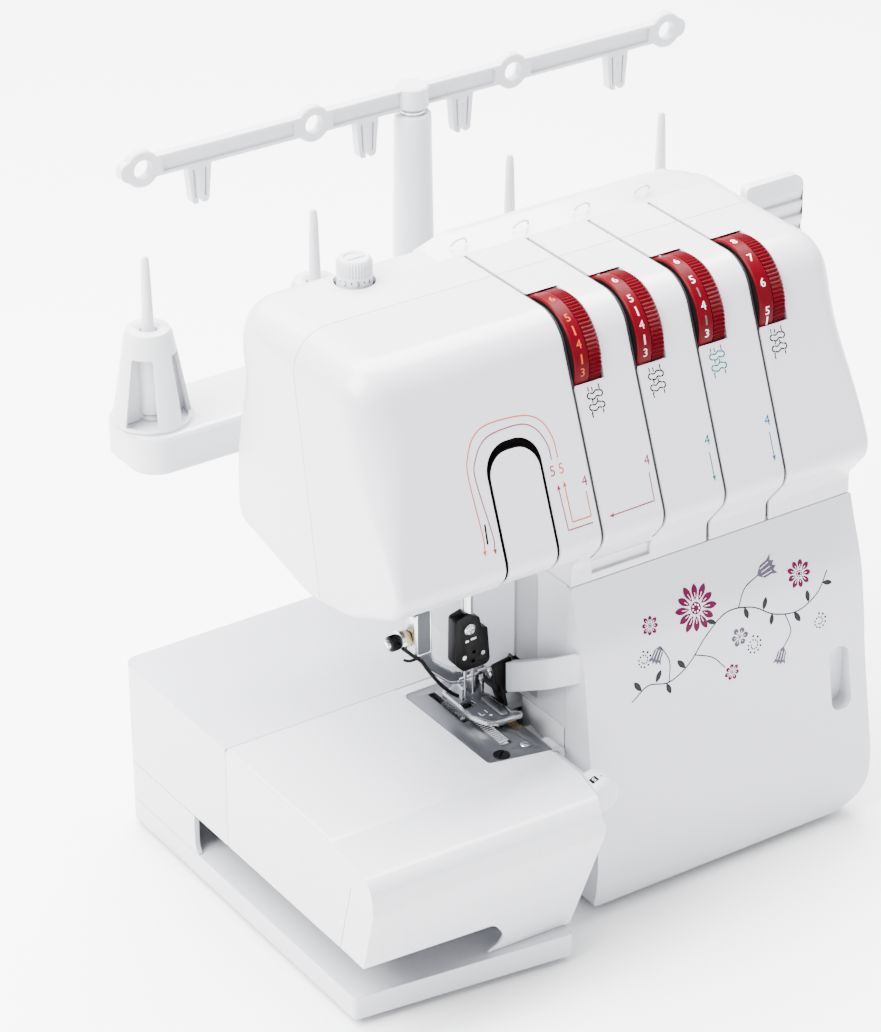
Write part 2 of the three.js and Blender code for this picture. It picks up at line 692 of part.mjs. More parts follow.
function needlePlate() {
  const bottom = BED.top - PLATE.thickness;
  const plate = prism("z", plateOutline(0), bottom, BED.top);
  const slots = DOG_ROWS.map(({ x, width, front, back }) =>
    block(
      x - CLEAR / 2,
      x + width + CLEAR / 2,
      front - DOG.travel - CLEAR,
      back + DOG.travel + CLEAR,
      bottom - 1,
      BED.top + 1,
    ),
  );
  const holeOutline = rectangle(NEEDLE.x - 2.2, NEEDLE.x + 4.6, NEEDLE.y - 2.8, NEEDLE.y + 3.6, 1.2);
  const needleHole = prism("z", holeOutline, bottom - 1, BED.top + 1);
  const sinks = PLATE_SCREWS.map(([, x, y, radius]) =>
    rod("z", [x, y], radius + GAP, BED.top - 1.5, BED.top + 1),
  );
  return cut(plate, ...slots, needleHole, ...sinks);
}
piece("needle_plate", needlePlate(), STEEL);

PLATE_SCREWS.forEach(([name, x, y, radius]) => {
  const top = BED.top + 0.2;
  const head = rod("z", [0, 0], radius, BED.top - 1.2, top, 20);
  const slot = block(-radius - 1, radius + 1, -0.5, 0.5, top - 0.6, top + 1);
  piece("needle_plate_screw_" + name, cut(head, slot), STEEL, [x, y, 0]);
});

function feedDog() {
  const { rail, railTop, beamFront, beamBack } = DOG;
  const row = ({ x, width, front, back, teeth }) => {
    const pitch = (back - front) / teeth;
    const outline = [point(front, railTop - 1), point(back, railTop - 1)];
    for (let tooth = teeth; tooth > 0; tooth--) {
      outline.push(point(front + tooth * pitch, BED.top - 0.8));
      outline.push(point(front + (tooth - 0.7) * pitch, BED.top + 0.5));
    }
    outline.push(point(front, BED.top - 0.8));
    const comb = prism("x", outline, x, x + width);
    const railFront = back < beamFront ? front : beamFront;
    return join(comb, block(x, x + width, railFront, beamBack, rail, railTop));
  };
  const [first, , last] = DOG_ROWS;
  const beam = block(first.x, last.x + last.width, beamFront, beamBack, rail, railTop);
  return join(beam, ...DOG_ROWS.map(row));
}
piece("feed_dog", feedDog(), STEEL);

// The fixed knife lies in the plate's notch, on a shank that stands inside the free arm.
function lowerKnife() {
  const left = KNIFE_NOTCH.left + GAP + 0.2;
  const right = PLATE.right - 0.1;
  const front = KNIFE_NOTCH.front + 2 * GAP;
  const floor = FREE_ARM.bottom + FREE_ARM.wall + GAP;
  const edge = block(left, right, front, front + 21, DOG.railTop, BED.top - 0.4);
  const shank = block(left, right, front, front + 5.4, floor, DOG.railTop + 1);
  return join(edge, shank);
}
piece("lower_knife", lowerKnife(), STEEL);

function upperKnife() {
  const { armLow, armHigh, front, back } = KNIFE;
  const left = PLATE.right + 0.5;
  const blade = prism(
    "x",
    rounded([[67.5, 92], [73, BED.top + 0.5], [80, BED.top + 0.5], [88, 98], [88, 106], [67.5, 106]]),
    left,
    left + 1.8,
  );
  const holder = prism("x", rectangle(79.5, back, 96, 110.5, 1.5), left - 0.7, 137);
  const arm = prism("x", rectangle(front, back, armLow, armHigh, 1), 136, FRAME.left + FRAME.web + 5);
  return join(blade, holder, arm);
}
piece("upper_knife", upperKnife(), DARK_STEEL);

// ---------- Loopers ----------
function looper({ y, z }, tip, left, right) {
  const shaft = rod("x", [y, z], LOOPERS.shaft, right - 1, FRAME.left + FRAME.web + 6, 16);
  const hub = rod("x", [y, z], 5, left, right, 20);
  const toTip = point(tip[0] - y, tip[1] - z).normalize();
  const across = point(-toTip.y, toTip.x);
  const arm = prism(
    "x",
    [
      point(y + across.x * 3.4, z + across.y * 3.4),
      point(y - across.x * 3.4, z - across.y * 3.4),
      point(tip[0] - across.x * 1.2, tip[1] - across.y * 1.2),
      point(tip[0] + across.x * 1.2, tip[1] + across.y * 1.2),
    ],
    left + 1,
    left + 4,
  );
  const beak = pipe(
    [
      [left + 2.5, tip[0], tip[1] - 1.5],
      [left - 2, tip[0], tip[1] - 0.5],
      [left - 8, tip[0] + 0.5, tip[1]],
    ],
    1,
    6,
    6,
  );
  return join(hub, shaft, arm, beak);
}
piece("upper_looper", looper(LOOPERS.upper, [LOOPERS.upper.y, 76], 124, 132), STEEL);
piece("lower_looper", looper(LOOPERS.lower, [LOOPERS.lower.y - 2, 75], 124, 132), STEEL);

// ---------- Needle bar group ----------
function needleBar() {
  const top = 276;
  const profile = [
    [0, 138],
    [NEEDLE.barRadius, 138],
    [NEEDLE.barRadius, top - 1],
    [NEEDLE.barRadius - 1, top],
    [0, top],
  ];
  return turned("z", [NEEDLE.x, NEEDLE.y, 0], profile, 16);
}
piece("needle_bar", needleBar(), STEEL);

function needleClamp() {
  const { left, right, front, back, bottom, top } = CLAMP;
  const outline = rounded([
    [left + 2, bottom, 2],
    [right - 1, bottom, 2],
    [right, bottom + 12, 2],
    [right - 3, top, 3],
    [left + 3, top, 3],
    [left, bottom + 12, 2],
  ], 3);
  const body = prism("y", outline, front, back);
  const needles = NEEDLE_XS.map((x) => rod("z", [x, NEEDLE.y], 1 + GAP, bottom - 1, bottom + 9));
  const screwHole = rod(
    "y",
    [CLAMP_SCREW.x, CLAMP_SCREW.z],
    CLAMP_SCREW.radius + GAP,
    front - 1,
    front + 2.5,
  );
  const windows = [108, 118.5].map((x) =>
    prism("y", rectangle(x, x + 3.6, 114, 118.5, 0.8), front - 1, front + 3),
  );
  return cut(body, ...needles, screwHole, ...windows);
}
piece("needle_clamp", needleClamp(), BLACK);

function clampScrew() {
  const { x, z, radius } = CLAMP_SCREW;
  const front = CLAMP.front - 1.4;
  const head = rod("y", [x, z], radius, front, CLAMP.front + 2.2);
  const slots = [
    block(x - 2.6, x + 2.6, front - 1, front + 0.9, z - 0.5, z + 0.5),
    block(x - 0.5, x + 0.5, front - 1, front + 0.9, z - 2.6, z + 2.6),
  ];
  return cut(head, ...slots);
}
piece("clamp_screw", clampScrew(), STEEL);

["left", "right"].forEach((side, index) => {
  const profile = [
    [0, NEEDLE.tip],
    [0.45, NEEDLE.tip + 4],
    [0.45, CLAMP.bottom - 3],
    [1, CLAMP.bottom - 1],
    [1, CLAMP.bottom + 8],
    [0, CLAMP.bottom + 8],
  ];
  const body = turned("z", [0, 0, 0], profile, 12);
  piece("needle_" + side, body, STEEL, [NEEDLE_XS[index], NEEDLE.y, 0]);
});

// ---------- Presser bar group ----------
const barProfile = (radius, bottom, top) => [
  [0, bottom],
  [radius, bottom],
  [radius, top - 1],
  [radius - 1, top],
  [0, top],
];
piece(
  "presser_bar",
  turned("z", [PRESSER.x, PRESSER.y, 0], barProfile(PRESSER.radius, 141, 262), 16),
  STEEL,
);

function footHolder() {
  const clampBlock = prism("y", rectangle(PRESSER.x - 6, PRESSER.x + 4.6, 127, 150, 2), 84.5, 95.5);
  const bore = rod("z", [PRESSER.x, PRESSER.y], PRESSER.radius + GAP, 140.7, 151);
  const screwHole = rod("x", [PRESSER.y, 136], 2 + GAP, 70, PRESSER.x - 2);
  const arm = prism(
    "y",
    rounded([
      [PRESSER.x - 2, 130],
      [PRESSER.x + 4.6, 130],
      [96, 121, 6],
      [108, 110.5, 8],
      [121.4, 108.5, 4],
      [121.4, 95.6, 3],
      [114.8, 95.6, 3],
      [114.8, 102, 2],
      [105, 104.5, 6],
      [90.5, 118, 8],
    ]),
    87,
    92,
  );
  const pivotHole = rod("x", [PRESSER.y, PRESSER.pivotZ], 1.2 + PLAY, 100, 130, 14);
  return cut(join(clampBlock, arm), bore, screwHole, pivotHole);
}
piece("presser_foot_holder", footHolder(), STEEL);

const thumbProfile = [
  [0, 0],
  [7.5, 0.5],
  [8, 2],
  [8, 7],
  [7, 8.5],
  [3, 9],
  [3, 9.5],
  [2, 9.6],
  [2, 15],
  [0, 15],
];
piece("foot_thumb_screw", turned("x", [70, PRESSER.y, 136], thumbProfile, 14), BLACK);

function presserFoot() {
  const bottom = PRESSER.sole;
  const top = bottom + 2.2;
  const sole = prism(
    "z",
    rounded([
      [104.5, 74, 10],
      [112, 60.8, 10],
      [130.2, 60.8, 2],
      [130.2, 65.8, 1],
      [126.4, 66.2, 1],
      [126.4, 105, 3],
      [104.5, 105, 3],
    ]),
    bottom,
    top,
  );
  const needleSlot = prism(
    "z",
    rectangle(NEEDLE.x - 3, NEEDLE.x + 5.2, 79, 86.6, 1.5),
    bottom - 1,
    top + 1,
  );
  const side = rounded([[87, top - 1], [98, top - 1], [94, 100.8, 3], [87, 100.8, 2]], 2);
  const cheek = (x) => prism("x", side, x, x + 2);
  const pin = rod("x", [PRESSER.y, PRESSER.pivotZ], 1.2, 112, 123.6, 12);
  return join(cut(sole, needleSlot), cheek(111.8), cheek(122.4), pin);
}
piece("presser_foot", presserFoot(), STEEL);

// ---------- Take-up lever ----------
function takeUpLever() {
  const hub = rod("x", [TAKE_UP.y, TAKE_UP.z], 6, 97.9, 108.2);
  const bore = rod("x", [TAKE_UP.y, TAKE_UP.z], 3 + PLAY, 90, 112);
  const blade = prism(
    "x",
    rounded([
      [TAKE_UP.y, TAKE_UP.z + 5.5],
      [46, 219, 4],
      [37.5, 211.5, 2],
      [37, 206, 1.5],
      [41, 205.5, 1.5],
      [43, 210, 2],
      [TAKE_UP.y, TAKE_UP.z - 5.5],
    ]),
    97.9,
    99.1,
  );
  return cut(join(hub, blade), bore);
}
piece("take_up_lever", takeUpLever(), STEEL);

// ---------- Tension dials ----------
function dialBody() {
  const sides = 28;
  const rim = [];
  for (let side = 0; side < sides; side++) {
    const radius = side % 2 ? DIAL.radius : DIAL.radius - 0.7;
    const angle = (2 * Math.PI * side) / sides;
    rim.push(point(radius * Math.cos(angle), radius * Math.sin(angle)));
  }
  const band = turned(
    "x",
    [0, 0, 0],
    [[0, 0], [DIAL.radius - 1, 0], [DIAL.radius, 2], [DIAL.radius, 9.2], [0, 9.2]],
    28,
  );
  const grip = prism("x", rim, 9, DIAL.width - 2);
  const lip = turned(
    "x",
    [0, 0, 0],
    [[0, 13.9], [DIAL.radius - 0.7, 13.9], [DIAL.radius - 2, DIAL.width], [0, DIAL.width]],
    28,
  );
  return cut(join(band, grip, lip), rod("x", [0, 0], DIAL.bore + PLAY, -1, DIAL.width + 1));
}
SLOT_ENDS.forEach((_, index) => {
  piece(
    "tension_dial_" + (index + 1),
    dialBody(),
    RED,
    [DIAL.first + index * DIAL.pitch + GAP, DIAL.y, DIAL.z],
  );
});
piece("dial_axle", rod("x", [DIAL.y, DIAL.z], DIAL.bore, FRAME.left - 0.1, FRAME.right + FRAME.web), STEEL);

function pressureKnob() {
  const { x, y, radius, top, bottom } = PRESSURE;
  const profile = [
    [0, bottom],
    [4, bottom],
    [4, 285],
    [radius, 286],
    [radius, top - 3],
    [radius - 1, top - 0.8],
    [radius - 2.5, top],
    [0, top],
  ];
  const knob = turned("z", [x, y, 0], profile);
  return cut(knob, block(x - radius, x + radius, y - 0.8, y + 0.8, top - 1.6, top + 1));
}
piece("pressure_knob", pressureKnob(), WHITE);

// ---------- Drive ----------
function mainShaft() {
  const shaft = rod("x", [SHAFT.y, SHAFT.z], SHAFT.radius, FRAME.left + 0.5, HANDWHEEL.from + 12);
  const pulley = rod("x", [SHAFT.y, SHAFT.z], BELT.pulley, BELT.from + 0.5, BELT.to - 0.5, 28);
  const collar = rod("x", [SHAFT.y, SHAFT.z], 9, FRAME.left + FRAME.web + GAP, FRAME.left + FRAME.web + 9);
  return join(shaft, pulley, collar);
}
piece("main_shaft", mainShaft(), STEEL);

function handwheel() {
  const { radius, from, to } = HANDWHEEL;
  const rim = turned("x", [0, 0, 0], [
    [0, from],
    [radius - 5, from],
    [radius, from + 3],
    [radius, to - 5],
    [radius - 3, to - 1],
    [radius - 8, to],
    [radius - 12, to - 6],
    [11, to - 6],
    [9, to - 2],
    [0, to - 2],
  ], 24);
  const grips = [];
  for (let index = 0; index < 8; index++) {
    const angle = (2 * Math.PI * index) / 8;
    const at = [radius * 1.04 * Math.cos(angle), radius * 1.04 * Math.sin(angle)];
    grips.push(rod("x", at, 3, from + 4, to + 1, 8));
  }
  return cut(rim, ...grips, rod("x", [0, 0], SHAFT.radius + GAP, from - 1, HANDWHEEL.from + 12 + GAP));
}
piece("handwheel", handwheel(), WHITE, [0, SHAFT.y, SHAFT.z]);

function motor() {
  const { radius, left, right } = MOTOR;
  const can = turned("x", [0, MOTOR.y, MOTOR.z], [
    [0, left],
    [radius - 3, left],
    [radius, left + 3],
    [radius, right - 3],
    [radius - 3, right],
    [9, right],
    [9, right + 3],
    [2.5, right + 3],
    [2.5, BELT.to + 2],
    [0, BELT.to + 2],
  ]);
  const vents = [-10, 0, 10].map(
    (z) => block(left - 1, left + 3, MOTOR.y - 12, MOTOR.y + 12, MOTOR.z + z - 2, MOTOR.z + z + 2),
  );
  return cut(can, ...vents);
}
piece("motor", motor(), DARK_STEEL);

function motorPulley() {
  const profile = [
    [2.5 + PLAY, BELT.from - 2],
    [MOTOR.pulley + 3, BELT.from - 2],
    [MOTOR.pulley + 3, BELT.from - 0.7],
    [MOTOR.pulley, BELT.from - 0.6],
    [MOTOR.pulley, BELT.to],
    [2.5 + PLAY, BELT.to],
    [2.5 + PLAY, BELT.from - 2],
  ];
  return turned("x", [0, MOTOR.y, MOTOR.z], profile);
}
piece("motor_pulley", motorPulley(), BLACK);

// The belt's loop: the tangents and arcs round both pulleys, at one distance outside them.
function beltLoop(extra) {
  const small = MOTOR.pulley + 2 * GAP + extra;
  const large = BELT.pulley + 2 * GAP + extra;
  const across = point(SHAFT.y - MOTOR.y, SHAFT.z - MOTOR.z);
  const heading = across.angle();
  const lean = Math.acos((small - large) / across.length());
  const outline = [];
  const arc = (y, z, radius, from, to) => {
    for (let step = 0; step <= 16; step++) {
      const angle = THREE.MathUtils.lerp(from, to, step / 16);
      outline.push(point(y + radius * Math.cos(angle), z + radius * Math.sin(angle)));
    }
  };
  arc(SHAFT.y, SHAFT.z, large, heading - lean, heading + lean);
  arc(MOTOR.y, MOTOR.z, small, heading + lean, heading + 2 * Math.PI - lean);
  return outline;
}
const belt = () =>
  cut(
    prism("x", beltLoop(BELT.thickness), BELT.from, BELT.to - GAP),
    prism("x", beltLoop(0), BELT.from - 1, BELT.to + 1),
  );
piece("drive_belt", belt(), RUBBER);

// ---------- Right side controls ----------
function sideDial(radius, grips, stemTo) {
  const from = COLUMN.right + GAP;
  let body = turned("x", [0, 0, 0], [
    [0, stemTo],
    [4, stemTo],
    [4, from],
    [radius, from],
    [radius, from + 7],
    [radius - 1.5, from + 9],
    [0, from + 9],
  ], 20);
  for (let index = 0; index < grips; index++) {
    const angle = (2 * Math.PI * index) / grips;
    const at = [(radius + 0.9) * Math.cos(angle), (radius + 0.9) * Math.sin(angle)];
    body = cut(body, rod("x", at, 1.6, from + 2, from + 10, 6));
  }
  return body;
}
piece(
  "stitch_length_dial",
  sideDial(LENGTH_DIAL.radius, 6, FRAME.right + 1),
  WHITE,
  [0, LENGTH_DIAL.y, LENGTH_DIAL.z],
);
piece(
  "feed_ratio_dial",
  sideDial(RATIO_DIAL.radius, 5, FRAME.right + 1),
  WHITE,
  [0, RATIO_DIAL.y, RATIO_DIAL.z],
);

function powerSwitch() {
  const rocker = prism("x", rectangle(149 + 0.6, 165 - 0.6, 30 + 0.6, 56 - 0.6, 1.5), 303, 308.5);
  const dish = rod("y", [327.5, 43], 20, 140, 175, 48);
  return cut(rocker, dish);
}
piece("power_switch", powerSwitch(), BLACK);

function powerInlet() {
  const body = prism("x", rectangle(178 + GAP, 204 - GAP, 30 + GAP, 56 - GAP, 2.5), 290, COLUMN.right);
  const flange = prism("x", rectangle(175, 207, 27, 59, 3), COLUMN.right + GAP, COLUMN.right + 2.3);
  const socket = prism("x", rectangle(181, 201, 35, 51, 3), 296, COLUMN.right + 4);
  const neck = prism(
    "x",
    rectangle(178 + GAP, 204 - GAP, 30 + GAP, 56 - GAP, 2.5),
    COLUMN.right - 1,
    COLUMN.right + 1,
  );
  const pins = [185, 191, 197].map((y) => rod("x", [y, 43], 1.2, 295, COLUMN.right - 2, 10));
  return join(cut(join(body, neck, flange), socket), ...pins);
}
piece("power_inlet", powerInlet(), BLACK);

function lifterLever() {
  const { y, z, hub, left, right, top, front, depth } = LIFTER;
  const shaft = rod("x", [y, z], 5, FRAME.right - 1, left + 1);
  const boss = rod("x", [y, z], hub, COLUMN.right + GAP, left + 7, 28);
  const bar = block(left, left + 7, front + 1, front + depth - 1, z, z + 30);
  const pad = prism(
    "y",
    rounded([[left, z + 22, 3], [right, z + 22, 6], [right, top, 6], [left, top, 2]], 3),
    front,
    front + depth,
  );
  const ribs = [];
  for (let height = z + 30; height < top - 8; height += 7.6) {
    ribs.push(
      prism(
        "x",
        rounded(
          [
            [front - 1, height],
            [front + 1.6, height],
            [front + 1.6, height + 3],
            [front - 1, height + 4.4],
          ],
          1,
        ),
        left + 8.5,
        right + 1,
      ),
    );
  }
  return cut(join(shaft, boss, bar, pad), ...ribs);
}
piece("foot_lifter_lever", lifterLever(), SOFT_WHITE);

// ---------- Front cover ----------
const COVER_FACE = [
  point(HEAD.front, COVER_TOP),
  point(39.5, 154),
  point(32.5, 133),
  point(28.4, 108),
  point(25.7, 84),
  point(21.6, 58),
  point(18, 35),
  point(17.5, 22),
  point(18.4, 10),
  point(20.8, 0),
];
function frontCover() {
  const left = COLUMN.left - 0.5;
  const outerSide = [
    ...COVER_FACE,
    point(41.6, 0),
    point(44.6, 4),
    point(COVER_BACK, COVER_AXIS.z),
    point(COVER_BACK, COVER_TOP),
  ];
  const face = inset(outerSide, WALL);
  const innerSide = [
    ...face.slice(0, COVER_FACE.length - 1),
    point(20.8 + WALL, -5),
    point(COVER_BACK + 5, -5),
    point(COVER_BACK + 5, COVER_TOP - WALL),
  ];
  const corner = prism(
    "y",
    rounded(
      [
        [left, 0, 3],
        [left, COVER_TOP, 2],
        [COLUMN.right, COVER_TOP, 1.5],
        [COLUMN.right, 0, COLUMN.cornerRadius],
      ],
      6,
    ),
    0,
    80,
  );
  const cornerIn = prism(
    "y",
    rounded(
      [
        [left + WALL, -20],
        [left + WALL, COVER_TOP + 5],
        [COLUMN.right - WALL, COVER_TOP + 5],
        [COLUMN.right - WALL, -20],
      ],
      6,
    ),
    0,
    80,
  );
  const roundIn = prism(
    "y",
    rounded(
      [
        [left - 5, -10],
        [left - 5, COVER_TOP + 5],
        [COLUMN.right - WALL, COVER_TOP + 5],
        [COLUMN.right - WALL, WALL - 0.1, COLUMN.cornerRadius - WALL],
        [COLUMN.right - 60, WALL - 0.1],
        [COLUMN.right - 60, -10],
      ],
      6,
    ),
    0,
    80,
  );
  const outer = prism("x", outerSide, left, COLUMN.right).intersect(corner);
  const inner = prism(
    "x",
    innerSide,
    left + WALL,
    COLUMN.right - WALL,
  ).intersect(cornerIn).intersect(roundIn);
  const { left: gripLeft, right: gripRight, low, high, depth } = GRIP;
  const pocket = prism("y", rectangle(gripLeft, gripRight, low, high, 3), 10, depth);
  const pocketWall = prism(
    "y",
    rectangle(gripLeft - WALL, gripRight + WALL, low - WALL, high + WALL, 3 + WALL),
    15,
    depth + WALL,
  ).intersect(outer);
  const shell = cut(outer, inner);
  const ears = EARS.map((x) =>
    join(
      rod("x", [COVER_AXIS.y, COVER_AXIS.z], 5, x, x + LUG_WIDTH),
      block(x, x + LUG_WIDTH, 20, COVER_AXIS.y, COVER_AXIS.z - 3, COVER_AXIS.z + 3),
    ),
  );
  const earBore = rod("x", [COVER_AXIS.y, COVER_AXIS.z], COVER_AXIS.radius + PLAY, 170, 290);
  const lugRoom = block(left + WALL, 291.3, 20.8 + WALL, 60, -5, WALL + 1);
  const closed = join(cut(join(shell, pocketWall), pocket, lugRoom), guardBeam(), ...ears);
  return cut(closed, earBore);
}

// The ribbed guard that reaches back from the cover's left flank to the presser foot.
function guardBeam() {
  const plan = rounded([
    [130.6, 78, 1],
    [130.6, 48, 4],
    [138.5, 38],
    [COLUMN.left + 1, 36],
    [COLUMN.left + 1, COVER_BACK],
    [136.4, COVER_BACK - 0.4],
    [136.2, 50, 3],
    [136.2, 78, 1],
  ], 3);
  const rise = [point(79, 92.5), point(79, 110), point(36, 128), point(36, 107), point(60, 98)];
  const body = prism("z", plan, 85, 135).intersect(prism("x", rise, 120, 160));
  const grooves = [];
  for (let y = 56; y < 77; y += 4) {
    grooves.push(block(129, 131.2, y, y + 1.4, 85, 135));
  }
  return cut(body, ...grooves);
}
piece("front_cover", frontCover(), WHITE);
piece("cover_hinge_rod", rod("x", [COVER_AXIS.y, COVER_AXIS.z], COVER_AXIS.radius, 157, 293), STEEL);

function widthDial() {
  const { x, z, radius, from, to, stem } = WIDTH_DIAL;
  let knob = turned(
    "y",
    [x, 0, z],
    [
      [0, from],
      [radius - 1.5, from],
      [radius, from + 1.5],
      [radius, to],
      [stem, to],
      [stem, 51],
      [0, 51],
    ],
    20,
  );
  for (let index = 0; index < 12; index++) {
    const angle = (2 * Math.PI * index) / 12;
    const at = [x + (radius + 0.5) * Math.cos(angle), z + (radius + 0.5) * Math.sin(angle)];
    knob = cut(knob, rod("y", at, 1, from + 6, to + 1, 6));
  }
  return knob;
}
piece("stitch_width_dial", widthDial(), WHITE);

// ---------- Extension table ----------
function tableRing(x, wall) {
  const shift = (TABLE.lean * x) / TABLE.right;
  const bottom = wall ? 0 : BASE.top + GAP;
  const corners = [
    [BED.seam + (wall ? 5 : 0), bottom],
    [BED.seam + (wall ? 5 : 0), BED.top - wall],
    [30, BED.top - wall, 60],
    [-6.5 + wall + shift, BED.top - 5 - wall, 12],
    [-8 + wall + shift, 67, 10],
    [6.5 + wall + shift + (wall ? 1.5 : 0), bottom],
  ];
  return rounded(corners, 4).map((p) => [x, p.x, p.y]);
}

function extensionTable() {
  const outer = loft([tableRing(0, 0), tableRing(TABLE.right, 0)]);
  const inner = loft([tableRing(WALL, WALL), tableRing(TABLE.right + 10, WALL)]);
  const plan = (w) => prism("z", rounded([[w, -25, 10 - w], [w, 130], [140, 130], [140, -25]]), -5, 100);
  const frontView = (w) =>
    prism("y", rounded([
      [w, 0],
      [114 - w, 0],
      [TABLE.right - w, BED.top + (w ? 10 : 0), w ? 0 : 3],
      [w, BED.top + (w ? 10 : 0), w ? 0 : 2.5],
    ]), -30, 130);
  const shell = cut(
    outer.intersect(plan(0)).intersect(frontView(0)),
    inner.intersect(frontView(WALL)),
  );
  const openSide = block(PLATE.left - GAP, 140, PLATE.front + 2, 130, -5, 100);
  const plateCut = prism("z", plateOutline(GAP), 0, 100);
  const slot = prism("y", rounded([
    [-5, BASE.top - 5],
    [72, BASE.top - 5],
    [72, BASE.top + 1],
    [SLOT_GAP.tip, 17, 1],
    [68, 29, 4],
    [-5, SLOT_GAP.top, 0],
  ], 3), -30, 30);
  const sideSlot = block(-5, 5, 10, 130, 0, SLOT_GAP.top);
  const dialRelief = rod("y", [WIDTH_DIAL.x, WIDTH_DIAL.z], WIDTH_DIAL.radius + CLEAR, -20, 45);
  return cut(shell, openSide, plateCut, slot, sideSlot, dialRelief);
}
piece("extension_table", extensionTable(), WHITE);

// ---------- Spool stand and thread tree ----------
function spoolStand() {
  const { x, halfLength, front, back, top, radius } = STAND;
  const bottom = SHELF + GAP;
  const plan = (w) => rectangle(x - halfLength + w, x + halfLength - w, front + w, back - w, radius - w, 5);
  const tray = cut(prism("z", plan(0), bottom, top), prism("z", plan(2.4), bottom - 1, top - 2.6));
  const ribs = [];
  for (const offset of [-110, 0, 110]) {
    ribs.push(block(x + offset - 1.2, x + offset + 1.2, front + 1, back - 1, bottom + 3, top - 1));
  }
  return join(tray, ...ribs);
}
piece("spool_stand", spoolStand(), WHITE);

PIN.offsets.forEach((offset, index) => {
  const bottom = STAND.top + GAP;
  const pinProfile = [
    [0, bottom],
    [PIN.flange, bottom],
    [PIN.flange, bottom + 1.5],
    [4, bottom + 3],
    [3.2, bottom + 45],
    [3, bottom + 46],
    [1.8, PIN.top - 2],
    [0, PIN.top],
  ];
  piece(
    "spool_pin_" + (index + 1),
    turned("z", [0, 0, 0], pinProfile, 16),
    SOFT_WHITE,
    [STAND.x + offset, PIN.y, 0],
  );

  const low = bottom + 3 + GAP;
  const high = low + CONE.height;
  const cone = (w) => turned(
    "z",
    [0, 0, 0],
    [
      [0, low + (w ? -1 : 0)],
      [CONE.base - w, low + (w ? -1 : 0)],
      [CONE.base - w, low + 2],
      [CONE.top - w, high - (w ? w : 0)],
      [0, high - (w ? w : 0)],
    ],
    12,
  );
  let body = cut(cone(0), cone(CONE.wall));
  for (let side = 0; side < 4; side++) {
    const angle = (Math.PI / 2) * side + Math.PI / 4;
    const slotOutline = rounded(
      [[-6.2, low + 6], [6.2, low + 6], [3.6, high - 10, 3], [-3.6, high - 10, 3]],
      1,
    );
    const slot = prism("y", slotOutline, 3, 30).rotate([0, 0, (angle * 180) / Math.PI]);
    body = cut(body, slot);
  }
  const sleeve = rod("z", [0, 0], CONE.sleeve, low + 30, high - 0.5, 8);
  const bore = rod("z", [0, 0], 4.3, low - 2, high + 1, 8);
  piece(
    "cone_holder_" + (index + 1),
    cut(join(body, sleeve), bore),
    SOFT_WHITE,
    [STAND.x + offset, PIN.y, 0],
  );
});

function outerPost() {
  const bottom = STAND.top + GAP;
  const profile = [
    [0, bottom],
    [POST.baseRadius + 3, bottom],
    [POST.baseRadius + 3, bottom + 2],
    [POST.baseRadius, bottom + 5],
    [POST.topRadius, POST.top],
    [0, POST.top],
  ];
  const body = turned("z", [STAND.x, PIN.y, 0], profile);
  return cut(body, rod("z", [STAND.x, PIN.y], POST.tube + PLAY, POST.tubeBottom - GAP, POST.top + 1));
}
piece("outer_post", outerPost(), WHITE);

function innerTube() {
  const collar = POST.top + GAP;
  const profile = [
    [0, POST.tubeBottom],
    [POST.tube, POST.tubeBottom],
    [POST.tube, collar],
    [6.5, collar],
    [6.5, collar + 1.6],
    [POST.tube, collar + 2.2],
    [POST.tube, TREE.z + 1],
    [0, TREE.z + 1],
  ];
  return turned("z", [STAND.x, PIN.y, 0], profile);
}
piece("inner_tube", innerTube(), STEEL);

function threadTree() {
  const { z, half, thickness, halfLength, hole, ring } = TREE;
  const y0 = PIN.y - thickness / 2;
  const y1 = PIN.y + thickness / 2;
  const x = STAND.x;
  const bar = prism("y", rectangle(x - halfLength, x + halfLength, z - half, z + half, 4), y0, y1);
  const rings = PIN.offsets.map((offset) => rod("y", [x + offset, z], ring, y0, y1, 14));
  const eyes = PIN.offsets.map((offset) => rod("y", [x + offset, z], hole, y0 - 1, y1 + 1, 10));
  const hooks = HOOK_OFFSETS.map((offset) => {
    const outline = rounded([
      [x + offset - 6, z - half + 1],
      [x + offset - 4.4, z - 22, 1.5],
      [x + offset - 1.2, z - 24.3],
      [x + offset - 1.2, z - half - 5],
      [x + offset + 1.2, z - half - 5],
      [x + offset + 1.2, z - 24.3],
      [x + offset + 4.4, z - 22, 1.5],
      [x + offset + 6, z - half + 1],
    ], 1);
    return prism("y", outline, y0, y1);
  });
  const hub = rod("z", [x, PIN.y], 8, z - half, z + half + 1);
  const socket = rod("z", [x, PIN.y], POST.tube + PLAY, z - half - 1, z + 1 + GAP);
  return cut(join(bar, ...rings, ...hooks, hub), ...eyes, socket);
}
piece("thread_tree", threadTree(), SOFT_WHITE);

// ---------- Origin at the bottom centre of the whole machine ----------
const box = new THREE.Box3().setFromObject(machine);
const centre = box.getCenter(new THREE.Vector3());
machine.position.set(-centre.x, -centre.y, -box.min.z);

export default group;
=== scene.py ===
"""An overlock (serger) sewing machine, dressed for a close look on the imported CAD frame.

Shapes are laid out in millimetres from the bottom front left corner of the bed, X to the right,
Y to the back and Z up, and moved to the row frame as each piece is finished.
"""

import math

import bmesh
import bpy
from mathutils import Matrix, Vector


